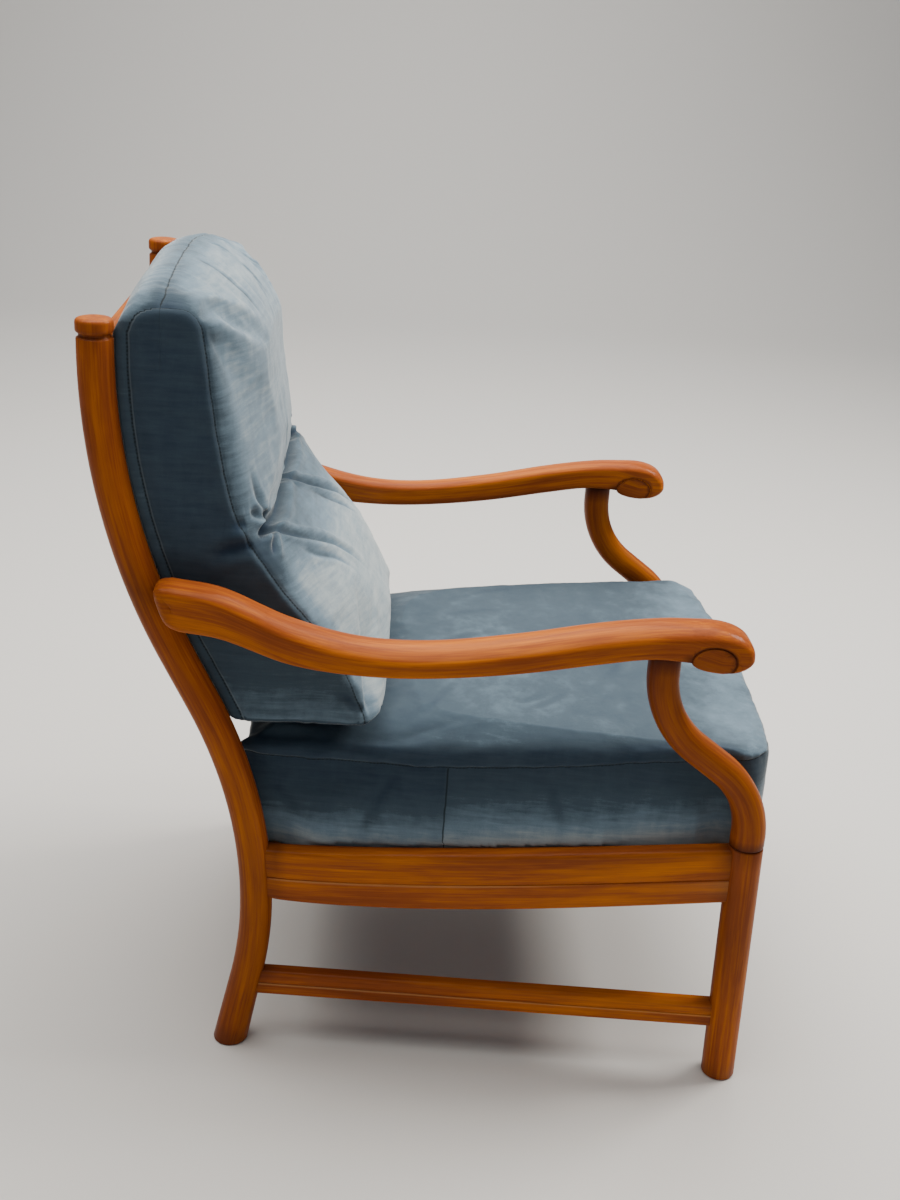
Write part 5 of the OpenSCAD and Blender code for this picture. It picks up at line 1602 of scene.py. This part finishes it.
shader.inputs["Sheen Weight"].default_value = velvetLooks["sheen"]
shader.inputs["Sheen Roughness"].default_value = 0.35
shader.inputs["Sheen Tint"].default_value = (*velvetLooks["sheenTint"], 1)
gather = g.noiseAt(g.mapped(g.ownPlace(), Scale=(135, 9, 9)), 1.0, 2.0, 0.5, 0.4)
nearJoin = g.spread(fromJoin, 0.004, 0.055, 1.0, 0.0)
gather = g.sums("MULTIPLY", g.sums("MULTIPLY", gather, nearJoin), 2.4)
height = g.weighed(velvetTone.outputs["Fuzz"], 0.28, velvetTone.outputs["Mottle"], 1.1)
height = g.sums("SUBTRACT", g.sums("ADD", height, gather), g.sums("MULTIPLY", line, 1.2))
g.link(g.bump(height, velvetLooks["bump"], 0.0016), shader.inputs["Normal"])
for obj, body in ((seatCushion, "seat_cushion"), (backCushion, "back_cushion")):
    setMaterial(obj, velvet)
    pick(obj)
    bpy.ops.object.shade_smooth()
    standFor(obj, [body + "_cover", body + "_core"], body)
print("velvet done")

# Zips: a tape, two rows of teeth and a slider, laid on the cushion
zipLooks = {
    "tape": 0.022, "thick": 0.0008, "pitch": 0.0042, "tooth": (0.0034, 0.0026, 0.0018),
    "slider": (0.0085, 0.012, 0.0036), "pull": (0.0045, 0.020, 0.0012),
    "tapeColour": (0.02, 0.035, 0.05), "toothColour": (0.035, 0.05, 0.062),
}


def makeZip(name, obj, left, right, outward):
    # left and right are the ends just outside the surface; the zip faces outward
    outward = Vector(outward).normalized()
    along = (right - left).normalized()
    across = outward.cross(along).normalized()
    length = (right - left).length
    rows = []
    count = round(length / 0.006)
    for i in range(count + 1):
        at = left.lerp(right, i / count)
        row = []
        for w in (-1, -0.33, 0.33, 1):
            spot = at + across * (w * zipLooks["tape"] / 2)
            found, near, normal, face = obj.ray_cast(spot + outward * 0.03, -outward)
            row.append((near if found else spot) + outward * 0.0007)
        rows.append(row)
    deselect()
    bpy.ops.mesh.primitive_grid_add(x_subdivisions=3, y_subdivisions=count)
    tape = bpy.context.object
    tape.name = tape.data.name = name
    for v in tape.data.vertices:
        i, j = round((v.co.y + 1) / 2 * count), round((v.co.x + 1) / 2 * 3)
        v.co = rows[i][j]
    offset = 1.0 if tape.data.polygons[0].normal.dot(outward) > 0 else -1.0
    finishWith(tape, "SOLIDIFY", thickness=zipLooks["thick"], offset=offset)
    middleRow = [(row[1] + row[2]) / 2 for row in rows]
    parts = [tape]
    teeth = round(length / zipLooks["pitch"])
    deselect()
    bpy.ops.mesh.primitive_cube_add(size=1)
    tooth = bpy.context.object
    bpy.ops.object.mode_set(mode="EDIT")
    bpy.ops.mesh.bevel(offset=0.18, segments=1)
    bpy.ops.object.mode_set(mode="OBJECT")
    basis = Matrix((across, along, outward)).transposed()

    def addPart(at, size):
        twin = tooth.copy()
        twin.data = tooth.data.copy()
        bpy.context.scene.collection.objects.link(twin)
        for v in twin.data.vertices:
            v.co = at + basis @ Vector([c * s for c, s in zip(v.co, size)])
        parts.append(twin)

    for i in range(teeth):
        t = (i + 0.5) / teeth * count
        k = min(int(t), count - 1)
        at = middleRow[k].lerp(middleRow[k + 1], t - k) + outward * 0.0012
        addPart(at + across * (0.0009 if i % 2 else -0.0009), zipLooks["tooth"])
    addPart(middleRow[-2] + outward * 0.0022, zipLooks["slider"])
    addPart(middleRow[-2] - along * 0.012 + outward * 0.0042, zipLooks["pull"])
    bpy.data.objects.remove(tooth)
    deselect()
    for part in parts:
        part.select_set(True)
    bpy.context.view_layer.objects.active = tape
    bpy.ops.object.join()
    editAll(tape, bpy.ops.mesh.normals_make_consistent, inside=False)
    return tape


def makeSpeckGroup():
    group, g, scale, result = startGroup("specks", "Scale", ("Clouds", "Grit"))
    coords = g.ownPlace()
    g.link(g.noiseAt(coords, scale, 4.0, 0.6), result.inputs["Clouds"])
    g.link(g.noiseAt(coords, g.sums("MULTIPLY", scale, 9), 3.0, 0.6), result.inputs["Grit"])
    return group


speckGroup = makeSpeckGroup()


def plainMaterial(name, dark, light, scale, rough, metallic=0.0, bump=0.2):
    mat, g, shader = newMaterial(name)
    specks = g.add("ShaderNodeGroup", node_tree=speckGroup)
    specks.inputs["Scale"].default_value = scale
    clouds = specks.outputs["Clouds"]
    g.link(g.ramp(clouds, [(0.35, dark), (0.65, light)]), shader.inputs["Base Color"])
    g.link(g.spread(clouds, 0.3, 0.7, *rough), shader.inputs["Roughness"])
    shader.inputs["Metallic"].default_value = metallic
    g.link(g.bump(specks.outputs["Grit"], bump, 0.0004), shader.inputs["Normal"])
    return mat


zipMaterial = plainMaterial("zipTape", zipLooks["tapeColour"], zipLooks["toothColour"], 240, (0.55, 0.75))
rearU = -seat["reach"] * 0.025 - 0.008
zipZ = seatFloor(0) + seat["boxing"] * 0.55
seatZip = makeZip("seatZip", seatCushion, place(-0.155, rearU, zipZ), place(0.155, rearU, zipZ), (0, 1, 0))
lowRear, lowFront = (place(0, backProfile[i][0], backProfile[i][1]) for i in (0, -14))
lowOut = Vector((0, -(lowRear - lowFront).z, (lowRear - lowFront).y)).normalized()
lowOut = -lowOut if lowOut.z > 0 else lowOut
lowEnds = [(lowRear + lowFront) / 2 + Vector((x, 0, 0)) + lowOut * 0.01 for x in (-0.13, 0.13)]
backZip = makeZip("backZip", backCushion, *lowEnds, lowOut)
for obj, node, body in ((seatZip, "seat_zip", "seat_cushion"), (backZip, "back_zip", "back_cushion")):
    setMaterial(obj, zipMaterial)
    standFor(obj, [node], body)
print("zips done")

# Finishes of the pieces that stay as they are
webbing, g, shader = newMaterial("webbing")
weave = g.sums("MULTIPLY", g.waves("Y", 110, 0.6), g.waves("X", 160))
colour = g.ramp(weave, [(0.1, (0.008, 0.008, 0.009)), (0.8, (0.035, 0.032, 0.03))])
g.link(colour, shader.inputs["Base Color"])
shader.inputs["Roughness"].default_value = 0.8
g.link(g.bump(weave, 0.5, 0.0005), shader.inputs["Normal"])
steel = plainMaterial("brightSteel", (0.42, 0.42, 0.43), (0.62, 0.61, 0.60), 60, (0.25, 0.42), 1.0, 0.05)
foam = plainMaterial("foam", (0.62, 0.54, 0.33), (0.74, 0.67, 0.45), 300, (0.85, 0.95), bump=0.6)
finishes = {
    "corner_screws": steel, "strap_clips": steel, "seat_straps": webbing, "seat_cushion_core": foam,
    "back_cushion_core": foam, "cross_rail_dowels": paleWood, "slat_dowels": paleWood,
}
for board in ("front_rail", "rear_rail", "crest_rail"):
    finishes[board] = stainedAcross
for height in ("upper", "middle", "lower"):
    finishes["back_slat_" + height] = stainedAcross
for corner in ("front_left", "front_right", "rear_left", "rear_right"):
    finishes["corner_block_" + corner] = paleWood
for joint in ("leg", "arm_front", "arm_rear", "side_rail", "stretcher"):
    finishes[joint + "_dowels"] = dowelWood
for node, finish in finishes.items():
    setMaterial(nodes[node], finish)
print("finishes of the kept pieces done")

# The room: a pale floor that turns up into a backdrop, and soft light
room = {"half": 7.0, "wallAt": 4.2, "curve": 1.6, "high": 5.0, "under": 0.0005}
sweep = [(-room["half"], -room["under"]), (room["wallAt"], -room["under"])]
for i in range(1, 13):
    a = math.pi / 2 * i / 12
    height = room["curve"] * (1 - math.cos(a)) - room["under"]
    sweep.append((room["wallAt"] + room["curve"] * math.sin(a), height))
sweep.append((room["wallAt"] + room["curve"], room["high"]))
deselect()
bpy.ops.mesh.primitive_grid_add(x_subdivisions=len(sweep) - 1, y_subdivisions=1, size=2 * room["half"])
floor = bpy.context.object
floor.name = floor.data.name = "floor"
for v in floor.data.vertices:
    column = round((v.co.x / room["half"] + 1) / 2 * (len(sweep) - 1))
    v.co.x, v.co.z = sweep[column]
smoothShade(floor, 40)
floorPale, g, shader = newMaterial("floorPale")
shader.inputs["Base Color"].default_value = (0.66, 0.65, 0.63, 1)
shader.inputs["Roughness"].default_value = 0.7
setMaterial(floor, floorPale)


def softLight(name, at, aim, size, power, tint=(1, 1, 1)):
    lamp = bpy.data.lights.new(name, "AREA")
    lamp.shape, lamp.size, lamp.size_y = "RECTANGLE", *size
    lamp.energy, lamp.color = power, tint
    obj = bpy.data.objects.new(name, lamp)
    bpy.context.scene.collection.objects.link(obj)
    obj.location = at
    obj.rotation_euler = (Vector(aim) - Vector(at)).to_track_quat("-Z", "Y").to_euler()
    return obj


softLight("frontLight", (0.6, -2.3, 2.9), (0, 0, 0.5), (1.4, 1.0), 100, (1, 0.95, 0.88))
softLight("ceilingLight", (0.3, 0.3, 3.1), (0, 0, 0.3), (3.6, 3.0), 155, (1, 0.95, 0.88))
softLight("backdropLight", (3.2, 0.0, 3.4), (4.6, 0, 0.2), (2.5, 6.0), 110, (1, 0.98, 0.96))
world = bpy.data.worlds.new("room")
world.use_nodes = True
world.node_tree.nodes["Background"].inputs["Color"].default_value = (0.80, 0.83, 0.88, 1)
world.node_tree.nodes["Background"].inputs["Strength"].default_value = 0.22
bpy.context.scene.world = world
print("room is set")
